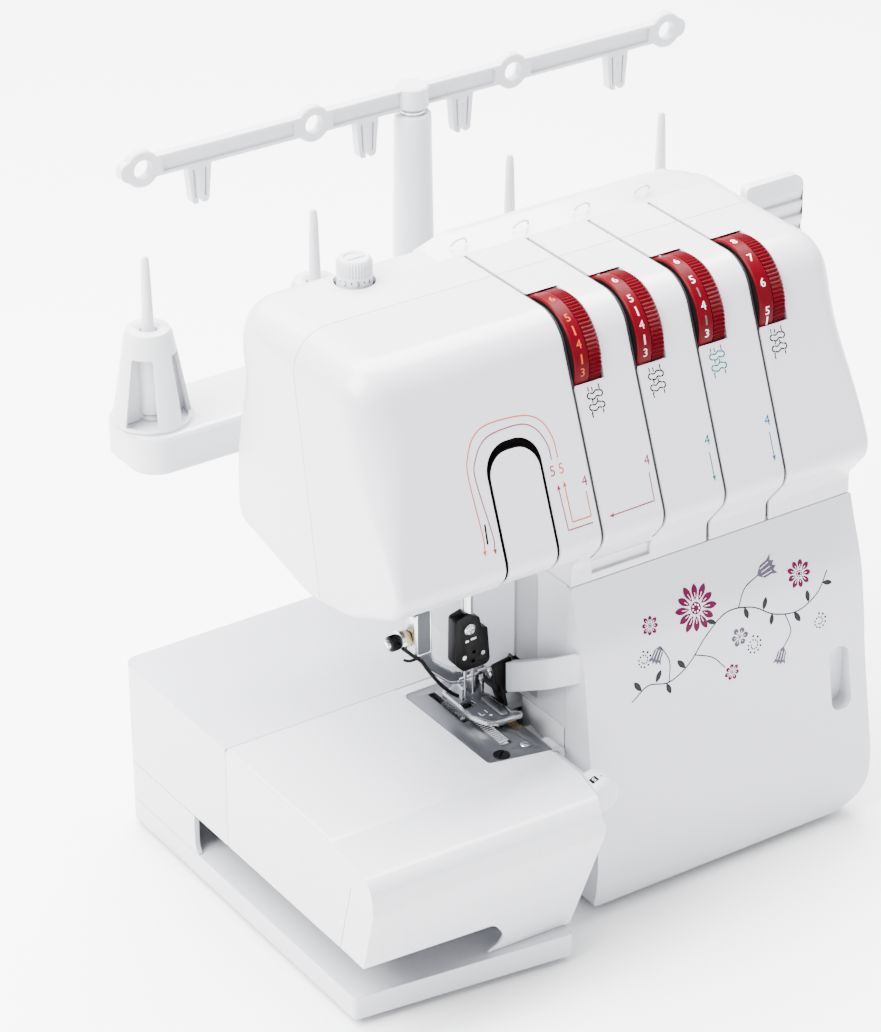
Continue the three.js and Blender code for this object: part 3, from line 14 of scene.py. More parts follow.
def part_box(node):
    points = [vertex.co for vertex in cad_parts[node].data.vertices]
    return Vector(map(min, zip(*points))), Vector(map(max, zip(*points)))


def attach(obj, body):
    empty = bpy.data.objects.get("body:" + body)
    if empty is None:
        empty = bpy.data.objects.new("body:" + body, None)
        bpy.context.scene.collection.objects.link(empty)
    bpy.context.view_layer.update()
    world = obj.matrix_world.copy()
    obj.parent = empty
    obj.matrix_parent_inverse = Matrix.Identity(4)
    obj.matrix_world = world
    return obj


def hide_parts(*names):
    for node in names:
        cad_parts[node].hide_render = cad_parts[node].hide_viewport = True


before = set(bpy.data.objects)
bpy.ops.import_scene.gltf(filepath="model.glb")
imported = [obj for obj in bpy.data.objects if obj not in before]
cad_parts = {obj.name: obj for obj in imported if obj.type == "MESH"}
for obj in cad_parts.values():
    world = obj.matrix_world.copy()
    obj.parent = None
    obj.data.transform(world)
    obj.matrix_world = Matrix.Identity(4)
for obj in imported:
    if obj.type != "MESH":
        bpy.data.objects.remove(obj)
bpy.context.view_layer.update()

MM = 0.001
BED_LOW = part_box("base_plate")[0]
STAND_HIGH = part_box("spool_stand")[1]
STAND_REACH = 0.2445  # from the bed's front corner to the back of the spool stand
ORIGIN = Vector((BED_LOW[0], STAND_HIGH[1] - STAND_REACH, BED_LOW[2]))
TO_ROW = Matrix.Translation(ORIGIN) @ Matrix.Scale(MM, 4)

# ---------- Driving dimensions ----------
GAP = 0.3  # joint line between two mouldings
WALL = 2.6  # moulded wall
CLEAR = 0.8  # room round a moving piece

HEAD_LEFT, HEAD_RIGHT, HEAD_FRONT, HEAD_BACK = 40, 308, 43, 172.3
HEAD_TOP, HEAD_SEAM = 294, 166.5
HEAD_CORE = (100, 225)  # the (y, z) that the rounded ends draw in to
ROUND_LEFT, ROUND_RIGHT, ROUND_LEAST = 20, 15, 0.2
ROUND_FROM, ROUND_TO = 200, 268
SEAM_Y, SEAM_Z, SEAM_SLOPE = 96.8, 167.6, 0.169
RIDGE_TOP = 299.5
LEDGE_X, LEDGE_Z = (154.6, 188), (170, 178)
ARCH_LEFT, ARCH_RIGHT, ARCH_TOP, ARCH_RADIUS = 97.6, 127.6, 250, 13
ARCH_GAP, ARCH_TOP_GAP = 1.8, 4.4

DIAL_RADIUS, DIAL_WIDTH, DIAL_Y, DIAL_Z = 27, 16, 82.5, 268.5
DIAL_X = [152.3, 187.5, 222.7, 257.9]
DIAL_BAND, DIAL_RIDGES, RIDGE_DEPTH = 7.9, 84, 0.75
DIAL_BORE = 3.3
WINDOW_WIDTH = DIAL_WIDTH + 2 * GAP
SLOT_WIDTH, SLOT_DEPTH, SLOT_REAR, SLOT_RIB = 1.9, 7, 143, 2.1
SLOT_ENDS = [182.5, 182.5, 166, 166]

KNOB_X, KNOB_Y, KNOB_RADIUS, KNOB_HOLE, KNOB_TOP = 95, 150, 8.5, 10, 306
KNOB_CENTRE, WIDTH_RADIUS = (133.2, 78), 8.8  # the stitch width dial on the front of the bed

COLUMN_LEFT, COLUMN_RIGHT, COLUMN_FRONT, COLUMN_CORNER = 143, 308, 46, 22
BED_TOP, BED_SEAM, BED_BACK, BED_RIGHT, BED_CORNER = 88.4, 119.5, 216.7, 143, 7
BASE_TOP, BASE_WALL, BASE_FRONT = 12, 3, 9
SHELF, ARM_BOTTOM = 192.3, 42
SLOT_TOP, SLOT_BACK, SLOT_TIP = 34, 152, 79.8
RECESS, RECESS_DEPTH = (69.5, 89, 92, 160), 1.2
KNIFE_WINDOW = (82, 94, 92.7, 106.3)
CHUTE_LEFT, CHUTE_RIGHT = 128.4, COLUMN_LEFT - CLEAR
FEET = [(16, 24), (280, 62), (20, 198), (284, 196)]
FOOT_NAMES = ("front_left", "front_right", "rear_left", "rear_right")
FOOT_RADIUS = 9

HINGE, HINGE_RADIUS, HINGE_LUGS, LUG_WIDTH = (29, 10), 2.5, [160, 284], 6
COVER_BACK, COVER_TOP = COLUMN_FRONT - GAP, HEAD_SEAM - 2 * GAP
COVER_FACE = [
    (HEAD_FRONT, COVER_TOP), (39.5, 154), (32.5, 133), (28.4, 108), (25.7, 84), (21.6, 58),
    (18, 35), (17.5, 22), (18.4, 10), (20.8, 0),
]
EARS = [176, 268]
GRIP, GRIP_RADIUS, GRIP_DEPTH = (286, 298, 59, 92), 5, 31

TABLE_RIGHT, TABLE_LEAN = 128.5, -4
PLATE, PLATE_SKEW, PLATE_THICK = (95.7, 127.4, 34, 113), 7, 2.2
NOTCH_LEFT, NOTCH_FRONT = 122.2, 58
PLATE_SCREWS = {"left": (104.8, 43.6, 3.9), "right": (119.1, 45.3, 2.4)}
DOG_ROWS = [(106.2, 2.6, 80, 98, 9), (109.4, 5.4, 52.5, 76, 14), (117.4, 2, 66, 98, 14)]

NEEDLE_X, NEEDLE_Y, NEEDLE_TIP, NEEDLE_TOP = 112, 83, 95.5, 111
NEEDLES = [110.8, 115.2]
CLAMP_FRONT, CLAMP_BACK = 79.5, 86.4
CLAMP_SCREW = (111.2, 136.4)
CLAMP_PINS = [(108.1, 121.9), (118.6, 121.6)]
CLAMP_HOLES = [(113.2, 118.6), (113.6, 123.4)]
PRESSER_X, PRESSER_Y, PIVOT_Z, THUMB_Z = 88.6, 90, 98.2, 136
SOLE, SOLE_TOP = 90.8, 93

SHAFT = (132, 128)
WHEEL_RADIUS, WHEEL_LOW, WHEEL_HIGH = 37, 311, 331
FLANK = COLUMN_RIGHT + GAP
LENGTH_DIAL, RATIO_DIAL, DIAL_SHAFT = (75, 62), (70, 118), 4.3
SWITCH, INLET, INLET_WELL = (149, 165, 30, 56), (178, 204, 30, 56), (181, 201, 35, 51)

STAND_X, STAND_HALF = 174.5, 166
STAND_FRONT, STAND_BACK = BED_BACK - 17.2, BED_BACK + 27.8
STAND_TOP, STAND_RADIUS = SHELF + 19.9, 14
STAND_FACE = STAND_TOP + GAP
PIN_Y, PIN_TOP = BED_BACK + 5.3, STAND_TOP + 84.4
PIN_OFFSETS = [-149, -56.7, 56.7, 149]
CONE_BASE, CONE_TIP, CONE_HEIGHT = 19, 11, 47.5
POST_TOP, POST_TIP, POST_BASE, TUBE, TUBE_LOW = 333, 9, 10.5, 4.5, 228
TREE_Z, TREE_HALF, TREE_THICK, TREE_LENGTH = POST_TOP + 8, 5, 5, 160.5
EYE, EYE_RING = 4.75, 9
HOOKS = [-119.2, -27.1, 27.1, 119.2]

LIFT, SUNK = 0.07, -0.05  # how far a print stands proud, and how far it reaches in
THREAD_WIDTH, VEIN_WIDTH, MARK_WIDTH = 0.55, 0.28, 0.35
FIGURE_SIZE, PANEL_FIGURE = 5.9, 6.6
LOW_SCALE = [("3", 0), ("-", 14), ("4", 28.5), ("-", 43), ("5", 57), ("6", 85.5), ("7", 114)]
HIGH_SCALE = [("-", -7), ("5", 4), ("6", 33), ("7", 61.5), ("8", 90), ("9", 118)]

CAMERA_LENS, CAMERA_AT = 135.0, (-757.66, -1208.81, 1069.48)
CAMERA_AZIMUTH, CAMERA_ELEVATION, CAMERA_ROLL = 33.5, 29.3, -0.3
FLOOR_REACH = 6


# ---------- Outlines ----------
def rounded(corners, steps=8):
    """A polygon whose corners (u, v, radius) are rounded by arcs."""
    outline = []
    for index, corner in enumerate(corners):
        here = Vector(corner[:2])
        wanted = corner[2] if len(corner) > 2 else 0
        if not wanted:
            outline.append(here)
            continue
        before = Vector(corners[index - 1][:2]) - here
        after = Vector(corners[(index + 1) % len(corners)][:2]) - here
        room = 0.49 * min(before.length, after.length)
        before.normalize()
        after.normalize()
        half = math.acos(max(-1, min(1, before.dot(after)))) / 2
        reach = min(wanted / math.tan(half), room)
        radius = reach * math.tan(half)
        start = here + before * reach
        end = here + after * reach
        centre = here + (before + after).normalized() * radius / math.sin(half)
        first = math.atan2(*reversed(start - centre))
        sweep = math.atan2(*reversed(end - centre)) - first
        if sweep > math.pi:
            sweep -= 2 * math.pi
        if sweep < -math.pi:
            sweep += 2 * math.pi
        for step in range(steps + 1):
            angle = first + sweep * step / steps
            outline.append(centre + radius * Vector((math.cos(angle), math.sin(angle))))
    return outline


def circle(u, v, radius, sides=48):
    turn = 2 * math.pi / sides
    return [
        Vector((u + radius * math.cos(turn * side), v + radius * math.sin(turn * side)))
        for side in range(sides)
    ]


def rectangle(u0, u1, v0, v1, radius=0, steps=6):
    return rounded([(u0, v0, radius), (u1, v0, radius), (u1, v1, radius), (u0, v1, radius)], steps)


def within(bounds, margin, radius, steps=6):
    """A rounded rectangle inside (u0, u1, v0, v1) by a margin, or outside if it is negative."""
    u0, u1, v0, v1 = bounds
    return rectangle(u0 + margin, u1 - margin, v0 + margin, v1 - margin, radius, steps)


def area(outline):
    return sum(a.x * b.y - b.x * a.y for a, b in zip(outline, outline[1:] + outline[:1])) / 2


def inset(outline, distance):
    """A closed outline with every side moved inwards by a distance (outwards if negative)."""
    side = distance if area(outline) > 0 else -distance
    moved_in = []
    for index, corner in enumerate(outline):
        into = (corner - outline[index - 1]).normalized()
        out = (outline[(index + 1) % len(outline)] - corner).normalized()
        middle = (into + out).normalized()
        stretch = side / max(0.5, middle.dot(into))
        moved_in.append(Vector((corner.x - middle.y * stretch, corner.y + middle.x * stretch)))
    return moved_in


def dense(outline, pitch=2.0):
    """The outline with its long sides divided, so that a skin over it stays even."""
    points = []
    for a, b in zip(outline, outline[1:] + outline[:1]):
        parts = max(1, round((b - a).length / pitch))
        points += [a.lerp(b, part / parts) for part in range(parts)]
    return points


def smooth_path(points, steps=8):
    """Points along a Catmull-Rom curve through the given points."""
    points = [Vector(p) for p in points]
    ends = [2 * points[0] - points[1], *points, 2 * points[-1] - points[-2]]
    path = []
    for a, b, c, d in zip(ends, ends[1:], ends[2:], ends[3:]):
        for step in range(steps):
            t = step / steps
            path.append(
                0.5 * (2 * b + (c - a) * t + (2 * a - 5 * b + 4 * c - d) * t * t
                       + (3 * b - a - 3 * c + d) * t * t * t)
            )
    path.append(points[-1])
    return path


def turned_by(points, angle, centre=(0, 0)):
    """Outline points turned clockwise about the origin, then moved."""
    made = []
    for p in points:
        u = p[0] * math.cos(angle) + p[1] * math.sin(angle)
        v = p[1] * math.cos(angle) - p[0] * math.sin(angle)
        made.append(Vector((centre[0] + u, centre[1] + v)))
    return made


def smoothstep(value, low, high):
    share = max(0, min(1, (value - low) / (high - low)))
    return share * share * (3 - 2 * share)


# ---------- Solids, in millimetres ----------
def place(axis, u, v, w):
    """Outlines are (y, z) along x, (x, z) along y and (x, y) along z."""
    return {"x": (w, u, v), "y": (u, w, v), "z": (u, v, w)}[axis]


def linked(name, data):
    made = bpy.data.objects.new(name, data)
    bpy.context.scene.collection.objects.link(made)
    return made


def solid(verts, faces):
    mesh = bpy.data.meshes.new("solid")
    mesh.from_pydata([tuple(v) for v in verts], [], faces)
    shape = bmesh.new()
    shape.from_mesh(mesh)
    bmesh.ops.remove_doubles(shape, verts=shape.verts, dist=1e-4)
    bmesh.ops.recalc_face_normals(shape, faces=shape.faces)
    shape.to_mesh(mesh)
    shape.free()
    return linked("solid", mesh)


def skin(rings):
    """A closed skin over rings of points, with flat ends."""
    count = len(rings[0])
    verts = [v for ring in rings for v in ring]
    faces = []
    for low in range(0, len(verts) - count, count):
        high = low + count
        for side in range(count):
            after = (side + 1) % count
            faces.append((low + side, low + after, high + after, high + side))
    faces.append(tuple(range(count)))
    faces.append(tuple(range(len(verts) - count, len(verts))))
    return solid(verts, faces)


def prism(axis, outline, low, high):
    return skin([[place(axis, p[0], p[1], w) for p in outline] for w in (low, high)])


def rod(axis, centre, radius, low, high, sides=48):
    return prism(axis, circle(*centre, radius, sides), low, high)


def block(x0, x1, y0, y1, z0, z1):
    return prism("z", rectangle(x0, x1, y0, y1), z0, z1)


def turned(axis, centre, profile, sides=64):
    """A turned piece: (radius, height) pairs from the low end to the high end of its axis."""
    rings = []
    for radius, height in profile:
        ring = circle(0, 0, max(radius, 1e-3), sides)
        rings.append([Vector(place(axis, *p, height)) + Vector(centre) for p in ring])
    return skin(rings)


def toothed(axis, centre, profile, teeth, depth):
    """A turned piece whose marked rings (radius, height, True) carry small ridges."""
    rings = []
    for radius, height, ridged in profile:
        ring = []
        for side, p in enumerate(circle(0, 0, radius, 2 * teeth)):
            share = 1 - depth / radius if ridged and side % 2 else 1
            ring.append(Vector(place(axis, *(p * share), height)) + Vector(centre))
        rings.append(ring)
    return skin(rings)


def pipe(points, radius, steps=8):
    """A round wire through the points, carried along without twisting."""
    path = smooth_path(points, steps)
    section = circle(0, 0, radius, 16)
    upright = abs((path[1] - path[0]).normalized().z) < 0.9
    up = Vector((0, 0, 1)) if upright else Vector((0, 1, 0))
    rings = []
    for index, here in enumerate(path):
        ahead = (path[min(index + 1, len(path) - 1)] - path[max(index - 1, 0)]).normalized()
        across = ahead.cross(up).normalized()
        up = across.cross(ahead).normalized()
        rings.append([here + across * p[0] + up * p[1] for p in section])
    return skin(rings)


def moved(made, at, angle):
    """A solid turned about the vertical through the origin, then moved."""
    made.data.transform(Matrix.Translation(at) @ Matrix.Rotation(angle, 4, "Z"))
    return made


def settle(made):
    """Applies the modifiers."""
    graph = bpy.context.evaluated_depsgraph_get()
    mesh = bpy.data.meshes.new_from_object(made.evaluated_get(graph))
    made.modifiers.clear()
    old = made.data
    made.data = mesh
    bpy.data.meshes.remove(old)
    return made


def discard(made):
    mesh = made.data
    bpy.data.objects.remove(made)
    bpy.data.meshes.remove(mesh)


def combine(operation, base, tools):
    for tool in tools:
        step = base.modifiers.new("shape", "BOOLEAN")
        step.operation = operation
        step.solver = "MANIFOLD"
        step.object = tool
    settle(base)
    for tool in tools:
        discard(tool)
    return base


def join(base, *tools):
    return combine("UNION", base, tools)


def cut(base, *tools):
    return combine("DIFFERENCE", base, tools)


def meet(base, *tools):
    return combine("INTERSECT", base, tools)


def copy(made):
    return linked("solid", made.data.copy())


def merged(pieces):
    """Several pieces of one print or finish as one object."""
    shape = bmesh.new()
    for piece in pieces:
        shape.from_mesh(piece.data)
        discard(piece)
    mesh = bpy.data.meshes.new("merged")
    shape.to_mesh(mesh)
    shape.free()
    return linked("merged", mesh)


def softened(made, width=0.4, segments=2):
    """Real moulded edges: a small round on every sharp edge."""
    bevel = made.modifiers.new("edges", "BEVEL")
    bevel.width = width
    bevel.segments = segments
    bevel.limit_method = "ANGLE"
    bevel.angle_limit = math.radians(35)
    bevel.miter_outer = "MITER_ARC"
    return settle(made)


# ---------- Materials ----------
def set_values(node, values):
    for name, value in values.items():
        node.inputs[name].default_value = value


def material(name, colour, roughness, metallic=0.0, grain=300.0, bump=0.02, vary=0.03,
             stretch=(1, 1, 1), coat=0.0, edge=0.0, through=0.0, shine=0.5):
    """A moulded, painted or machined surface: fine grain in its colour, gloss and relief."""
    made = bpy.data.materials.new(name)
    made.use_nodes = True
    links = made.node_tree.links
    shader = made.node_tree.nodes["Principled BSDF"]
    set_values(shader, {"Metallic": metallic, "Specular IOR Level": shine,
                        "Coat Weight": coat, "Coat Roughness": 0.08})
    if through:
        set_values(shader, {"Subsurface Weight": through, "Subsurface Scale": 1.0,
                            "Subsurface Radius": (0.004, 0.004, 0.004)})

    def add(kind, values, source=None, entry=None):
        """A new node with its values, fed by another node's output."""
        node = made.node_tree.nodes.new(f"ShaderNode{kind}")
        set_values(node, values)
        if source:
            links.new(source, node.inputs[entry])
        return node

    where = add("TexCoord", {})
    scaled = add("Mapping", {"Scale": stretch}, where.outputs["Object"], "Vector")
    spread = scaled.outputs["Vector"]
    broad = add("TexNoise", {"Scale": grain / 12, "Detail": 4.0}, spread, "Vector")
    fine = add("TexNoise", {"Scale": grain * 6, "Detail": 3.0}, spread, "Vector").outputs["Fac"]

    ramp = add("ValToRGB", {}, broad.outputs["Fac"], "Fac")
    for element, position, share in zip(ramp.color_ramp.elements, (0.3, 0.7), (1 - vary, 1 + vary)):
        element.position = position
        element.color = (*(max(0.0, min(1.0, c * share)) for c in colour), 1)
    links.new(ramp.outputs["Color"], shader.inputs["Base Color"])

    spans = {"To Min": max(0.02, roughness - 0.06), "To Max": roughness + 0.06}
    gloss = add("MapRange", spans, fine, "Value")
    links.new(gloss.outputs["Result"], shader.inputs["Roughness"])

    relief = add("Bump", {"Strength": bump, "Distance": 0.0002}, fine, "Height")
    if edge:
        rounder = add("Bevel", {"Radius": edge})
        rounder.samples = 4
        links.new(rounder.outputs["Normal"], relief.inputs["Normal"])
    links.new(relief.outputs["Normal"], shader.inputs["Normal"])
    return made


def moulding(name, colour, roughness, **more):
    """A pale moulded plastic with softly rounded edges."""
    return material(name, colour, roughness, **{"grain": 240, "vary": 0.008, "edge": 0.0005, **more})


def ink(name, colour):
    return material(name, colour, 0.4, grain=900, bump=0.05, vary=0.06, shine=0.08)


def metal(name, colour, roughness, grain, bump, vary, **more):
    return material(name, colour, roughness, 1.0, grain, bump, vary, **more)


WHITE = moulding("gloss_white", (0.60, 0.605, 0.635), 0.26, coat=0.25)
PANEL = moulding("panel_white", (0.575, 0.572, 0.615), 0.26, coat=0.25)
COVER = moulding("cover_white", (0.55, 0.555, 0.59), 0.24, coat=0.3)
SOFT = moulding("soft_white", (0.60, 0.605, 0.63), 0.34, grain=260, vary=0.01, through=0.15)
# Painted shade: a mid grey for the shaded recess in the column's left flank.
FLANK_SHADE = moulding("flank_recess_shade", (0.33, 0.335, 0.35), 0.5, grain=260, vary=0.02)
RED = material("dial_red", (0.075, 0.0001, 0.0035), 0.3, vary=0.05, shine=0.05, edge=0.0003)
STEEL = metal("bright_steel", (0.62, 0.63, 0.645), 0.2, 500, 0.08, 0.06)
BRUSHED = metal(
    "brushed_plate", (0.20, 0.205, 0.215), 0.4, 500, 0.3, 0.12, stretch=(1, 0.06, 1)
)
DARK_STEEL = metal("dark_steel", (0.20, 0.20, 0.21), 0.36, 420, 0.12, 0.1)
BRASS = metal("brass", (0.60, 0.47, 0.27), 0.28, 420, 0.1, 0.08)
CAST = material("cast_alloy", (0.42, 0.43, 0.44), 0.55, 0.9, 160, 0.5, 0.1)
# Painted shade: a dark, barely metallic grey used in place of bright steel where the steel looks dark,
# on the foot plate and the foot holder's face.
SHADED_STEEL = material("foot_plate_shaded_steel", (0.075, 0.08, 0.09), 0.42, 0.35, 420, 0.15, 0.1, shine=0.3)
BLACK = material("black_moulding", (0.002, 0.0017, 0.0017), 0.36, 0, 380, 0.15, 0.25, shine=0.12)
RUBBER = material("black_rubber", (0.01, 0.01, 0.011), 0.8, 0, 260, 0.5, 0.2)
SHADE = material("seam_shadow", (0.04, 0.04, 0.045), 0.7, 0, 260, 0.1, 0.1, shine=0.1)
DEEP = material("deep_shadow", (0.003, 0.002, 0.002), 0.8, 0, 260, 0.1, 0.2, shine=0.05)

INK_GREY = ink("ink_grey", (0.008, 0.008, 0.01))
INK_ORANGE = ink("ink_orange", (0.40, 0.07, 0.015))
INK_ROSE = ink("ink_rose", (0.17, 0.03, 0.04))
INK_TEAL = ink("ink_teal", (0.004, 0.10, 0.10))
INK_BLUE = ink("ink_blue", (0.006, 0.08, 0.18))
INK_WHITE = ink("ink_white", (0.80, 0.76, 0.76))
INK_PINK = ink("ink_pink", (0.75, 0.42, 0.40))
INK_SAGE = ink("ink_sage", (0.06, 0.09, 0.075))
INK_PLUM = ink("ink_plum", (0.085, 0.0003, 0.03))
INK_LILAC = ink("ink_lilac", (0.07, 0.06, 0.09))
INK_SLATE = ink("ink_slate", (0.012, 0.013, 0.016))


# ---------- Pieces ----------
def finish(made, name, look, body="machine", node=None, angle=32):
    """Names a solid, moves it to the row frame and lets it ride on its body."""
    made.name = name
    made.data.name = name
    made.data.transform(TO_ROW)
    made.data.materials.clear()
    made.data.materials.append(look)
    for face in made.data.polygons:
        face.use_smooth = True
    made.data.set_sharp_from_angle(angle=math.radians(angle))
    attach(made, body)
    if node:
        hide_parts(node)


def dress(look, *nodes):
    """Gives CAD nodes that keep their shape a finish."""
    for node in nodes:
        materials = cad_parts[node].data.materials
        if not materials:
            materials.append(look)
        for index in range(len(materials)):
            materials[index] = look


# ---------- Head ----------
CROWN = (67.2, HEAD_TOP, 20)
NOSE = (28.7, 194.5, 12)
BACK_TOP = (HEAD_BACK, HEAD_TOP, 16)
UNDERSIDE = [(36.4, 184.9, 3), (71, 169.2, 40), (104.8, 162.8, 60), (169.5, 178.2, 9)]
FRONT_LIP = (HEAD_FRONT + 0.3, 176.3, 7)
ARM_OUTLINE = rounded([BACK_TOP, CROWN, NOSE, *UNDERSIDE], 14)
HEAD_OUTLINE = rounded(
    [BACK_TOP, CROWN, NOSE, FRONT_LIP, (HEAD_FRONT, HEAD_SEAM), (HEAD_BACK, HEAD_SEAM)], 14
)
DIAL_AXIS = (DIAL_Y, DIAL_Z)


def end_rings(outline, x, direction, radius, count=10):
    """Rings near a rounded end: the higher the point, the larger its radius."""
    rings = []
    for step in range(count + 1):
        angle = math.pi / 2 * step / count
        ring = []
        for p in outline:
            rise = smoothstep(p.y, ROUND_FROM, ROUND_TO)
            own = radius * (ROUND_LEAST + (1 - ROUND_LEAST) * rise)
            core = Vector((HEAD_CORE[0] - p.x, HEAD_CORE[1] - p.y)).normalized()
            drawn = own * (1 - math.sin(angle))
            ring.append((x + direction * own * (1 - math.cos(angle)), *(p + core * drawn)))
        rings.append(ring)
    return rings


def head_body(wall):
    """The arm and the column part of the head; with a wall, the room inside them."""
    arm = dense(inset(ARM_OUTLINE, wall), 4)
    drop = 3 * wall  # the room runs out through the open bottom
    column = [
        Vector((p.x, p.y - drop if p.y < 170 + wall else p.y)) for p in inset(HEAD_OUTLINE, wall)
    ]
    column = dense(column, 4)
    middle = COLUMN_LEFT + wall
    left_end = end_rings(arm, HEAD_LEFT + wall, 1, ROUND_LEFT - wall)
    right_end = end_rings(column, HEAD_RIGHT - wall, -1, ROUND_RIGHT - wall)
    left = skin([*left_end, [(middle, *p) for p in arm]])
    right = skin([[(middle, *p) for p in column], *reversed(right_end)])
    return join(left, right)


def head_layer(high, low, left, right):
    """The head's wall between two depths below its surface."""
    return cut(
        prism("x", inset(HEAD_OUTLINE, high), left, right),
        prism("x", inset(HEAD_OUTLINE, low), left - 1, right + 1),
    )


def wall_band(high, low, left, right, low_end):
    """The part of a wall layer that one thread slot runs through."""
    layer = head_layer(high, low, left, right)
    top = block(left - 1, right + 1, 20, SLOT_REAR, 230, HEAD_TOP + 5)
    front = block(left - 1, right + 1, 20, 62, low_end, 231)
    return meet(layer, join(top, front))


def arch(side, top, bottom, radius=ARCH_RADIUS):
    """The outline of the take-up arch, narrowed at its sides and lowered at its top."""
    left, right, top = ARCH_LEFT + side, ARCH_RIGHT - side, ARCH_TOP - top
    return rounded([(left, bottom), (right, bottom), (right, top, radius), (left, top, radius)], 12)


def seam_side(edge, direction):
    """One side of the slanted seam between the two housings."""
    def seam_at(z):
        return SEAM_Y + SEAM_SLOPE * (z - SEAM_Z) + direction * GAP / 2

    return [(seam_at(140), 140), (edge, 140), (edge, 320), (seam_at(320), 320)]


def guide_ridge():
    """The raised rail behind the thread slots; its ends slope down to the top face."""
    sunk = HEAD_TOP - 1
    side = [(143, sunk), (145, HEAD_TOP), (158, RIDGE_TOP, 2), (162, RIDGE_TOP, 1), (163, sunk)]
    view = [
        (135, sunk), (138, HEAD_TOP, 3), (153, RIDGE_TOP, 5), (278, RIDGE_TOP, 5),
        (293, HEAD_TOP, 3), (296, sunk),
    ]
    return meet(prism("x", rounded(side), 135, 296), prism("y", rounded(view), 142, HEAD_BACK))


def arch_painted_shade():
    """Painted shade: dark sheets on the edges and back of the gap round the take-up tongue, where
    shade falls.
    """
    def band(outline, width, high):
        ring = cut(prism("y", outline, 15, 57), prism("y", inset(outline, width), 14, 58))
        return meet(ring, head_layer(high, 3.2, 90, 135))

    tongue = arch(ARCH_GAP - 0.3, ARCH_TOP_GAP - 0.3, 188, 11.3)
    opening = arch(-0.2, -0.2, 186)
    back = meet(prism("y", arch(-0.5, -0.5, 190), 15, 62), head_layer(3, 3.6, 90, 135))
    return merged([band(tongue, 1.5, 0.5), band(opening, 0.5, 0.7), back])


def build_head():
    outer = head_body(0)
    shell = cut(copy(outer), head_body(WALL))
    for x, low_end in zip(DIAL_X, SLOT_ENDS):
        rib = wall_band(1, SLOT_DEPTH + 2, x - SLOT_WIDTH - SLOT_RIB, x + SLOT_RIB, low_end)
        slot = wall_band(-2, SLOT_DEPTH, x - SLOT_WIDTH, x, low_end - 1)
        window = rod("x", DIAL_AXIS, DIAL_RADIUS + CLEAR, x, x + WINDOW_WIDTH, 96)
        shell = cut(join(shell, rib), slot, window)
    gap = prism("y", arch(0, 0, 170), 15, 57)
    ledge = meet(head_layer(-1, 1.7, *LEDGE_X), block(*LEDGE_X, 20, 60, *LEDGE_Z))
    arm_bottom = block(70, 134, 62, 114, 150, 186)
    shell = cut(shell, gap, ledge, arm_bottom, rod("z", (KNOB_X, KNOB_Y), KNOB_HOLE, 280, 300, 64))
    rear = join(meet(copy(shell), prism("x", seam_side(200, 1), 0, 400)), guide_ridge())
    front = meet(shell, prism("x", seam_side(0, -1), 0, 400))
    finish(front, "front_shell", PANEL, node="front_housing")
    finish(rear, "rear_shell", WHITE, node="rear_housing")

    tongue = prism("y", arch(ARCH_GAP, ARCH_TOP_GAP, 186, 11), 15, 57)
    tongue = meet(cut(outer, head_body(WALL)), tongue)
    finish(tongue, "take_up_tongue", PANEL, node="take_up_cover")
    finish(arch_painted_shade(), "take_up_shadow", DEEP)
    for number, (x, low_end) in enumerate(zip(DIAL_X, SLOT_ENDS), 1):
        # Painted shade: a dark sheet inside each thread slot, where shade falls.
        slot_shade = wall_band(1.1, SLOT_DEPTH + 0.5, x - SLOT_WIDTH - 0.1, x + 0.1, low_end - 0.5)
        finish(slot_shade, f"slot_shadow_{number}", SHADE)
        bow = []
        for step in range(7):
            across, rise = math.cos(math.pi * step / 6), math.sin(math.pi * step / 6)
            bow.append((x - 4.2 * across, 149.6 - 1.6 * rise, 297.2 + 3.4 * rise))
        finish(pipe(bow, 0.55, 12), f"ridge_eyelet_{number}", SOFT)
    top = LEDGE_Z[1]
    shade = meet(head_layer(1.4, 1.75, *LEDGE_X), block(*LEDGE_X, 20, 60, top - 1.9, top))
    finish(shade, "ledge_shadow", SHADE)


build_head()


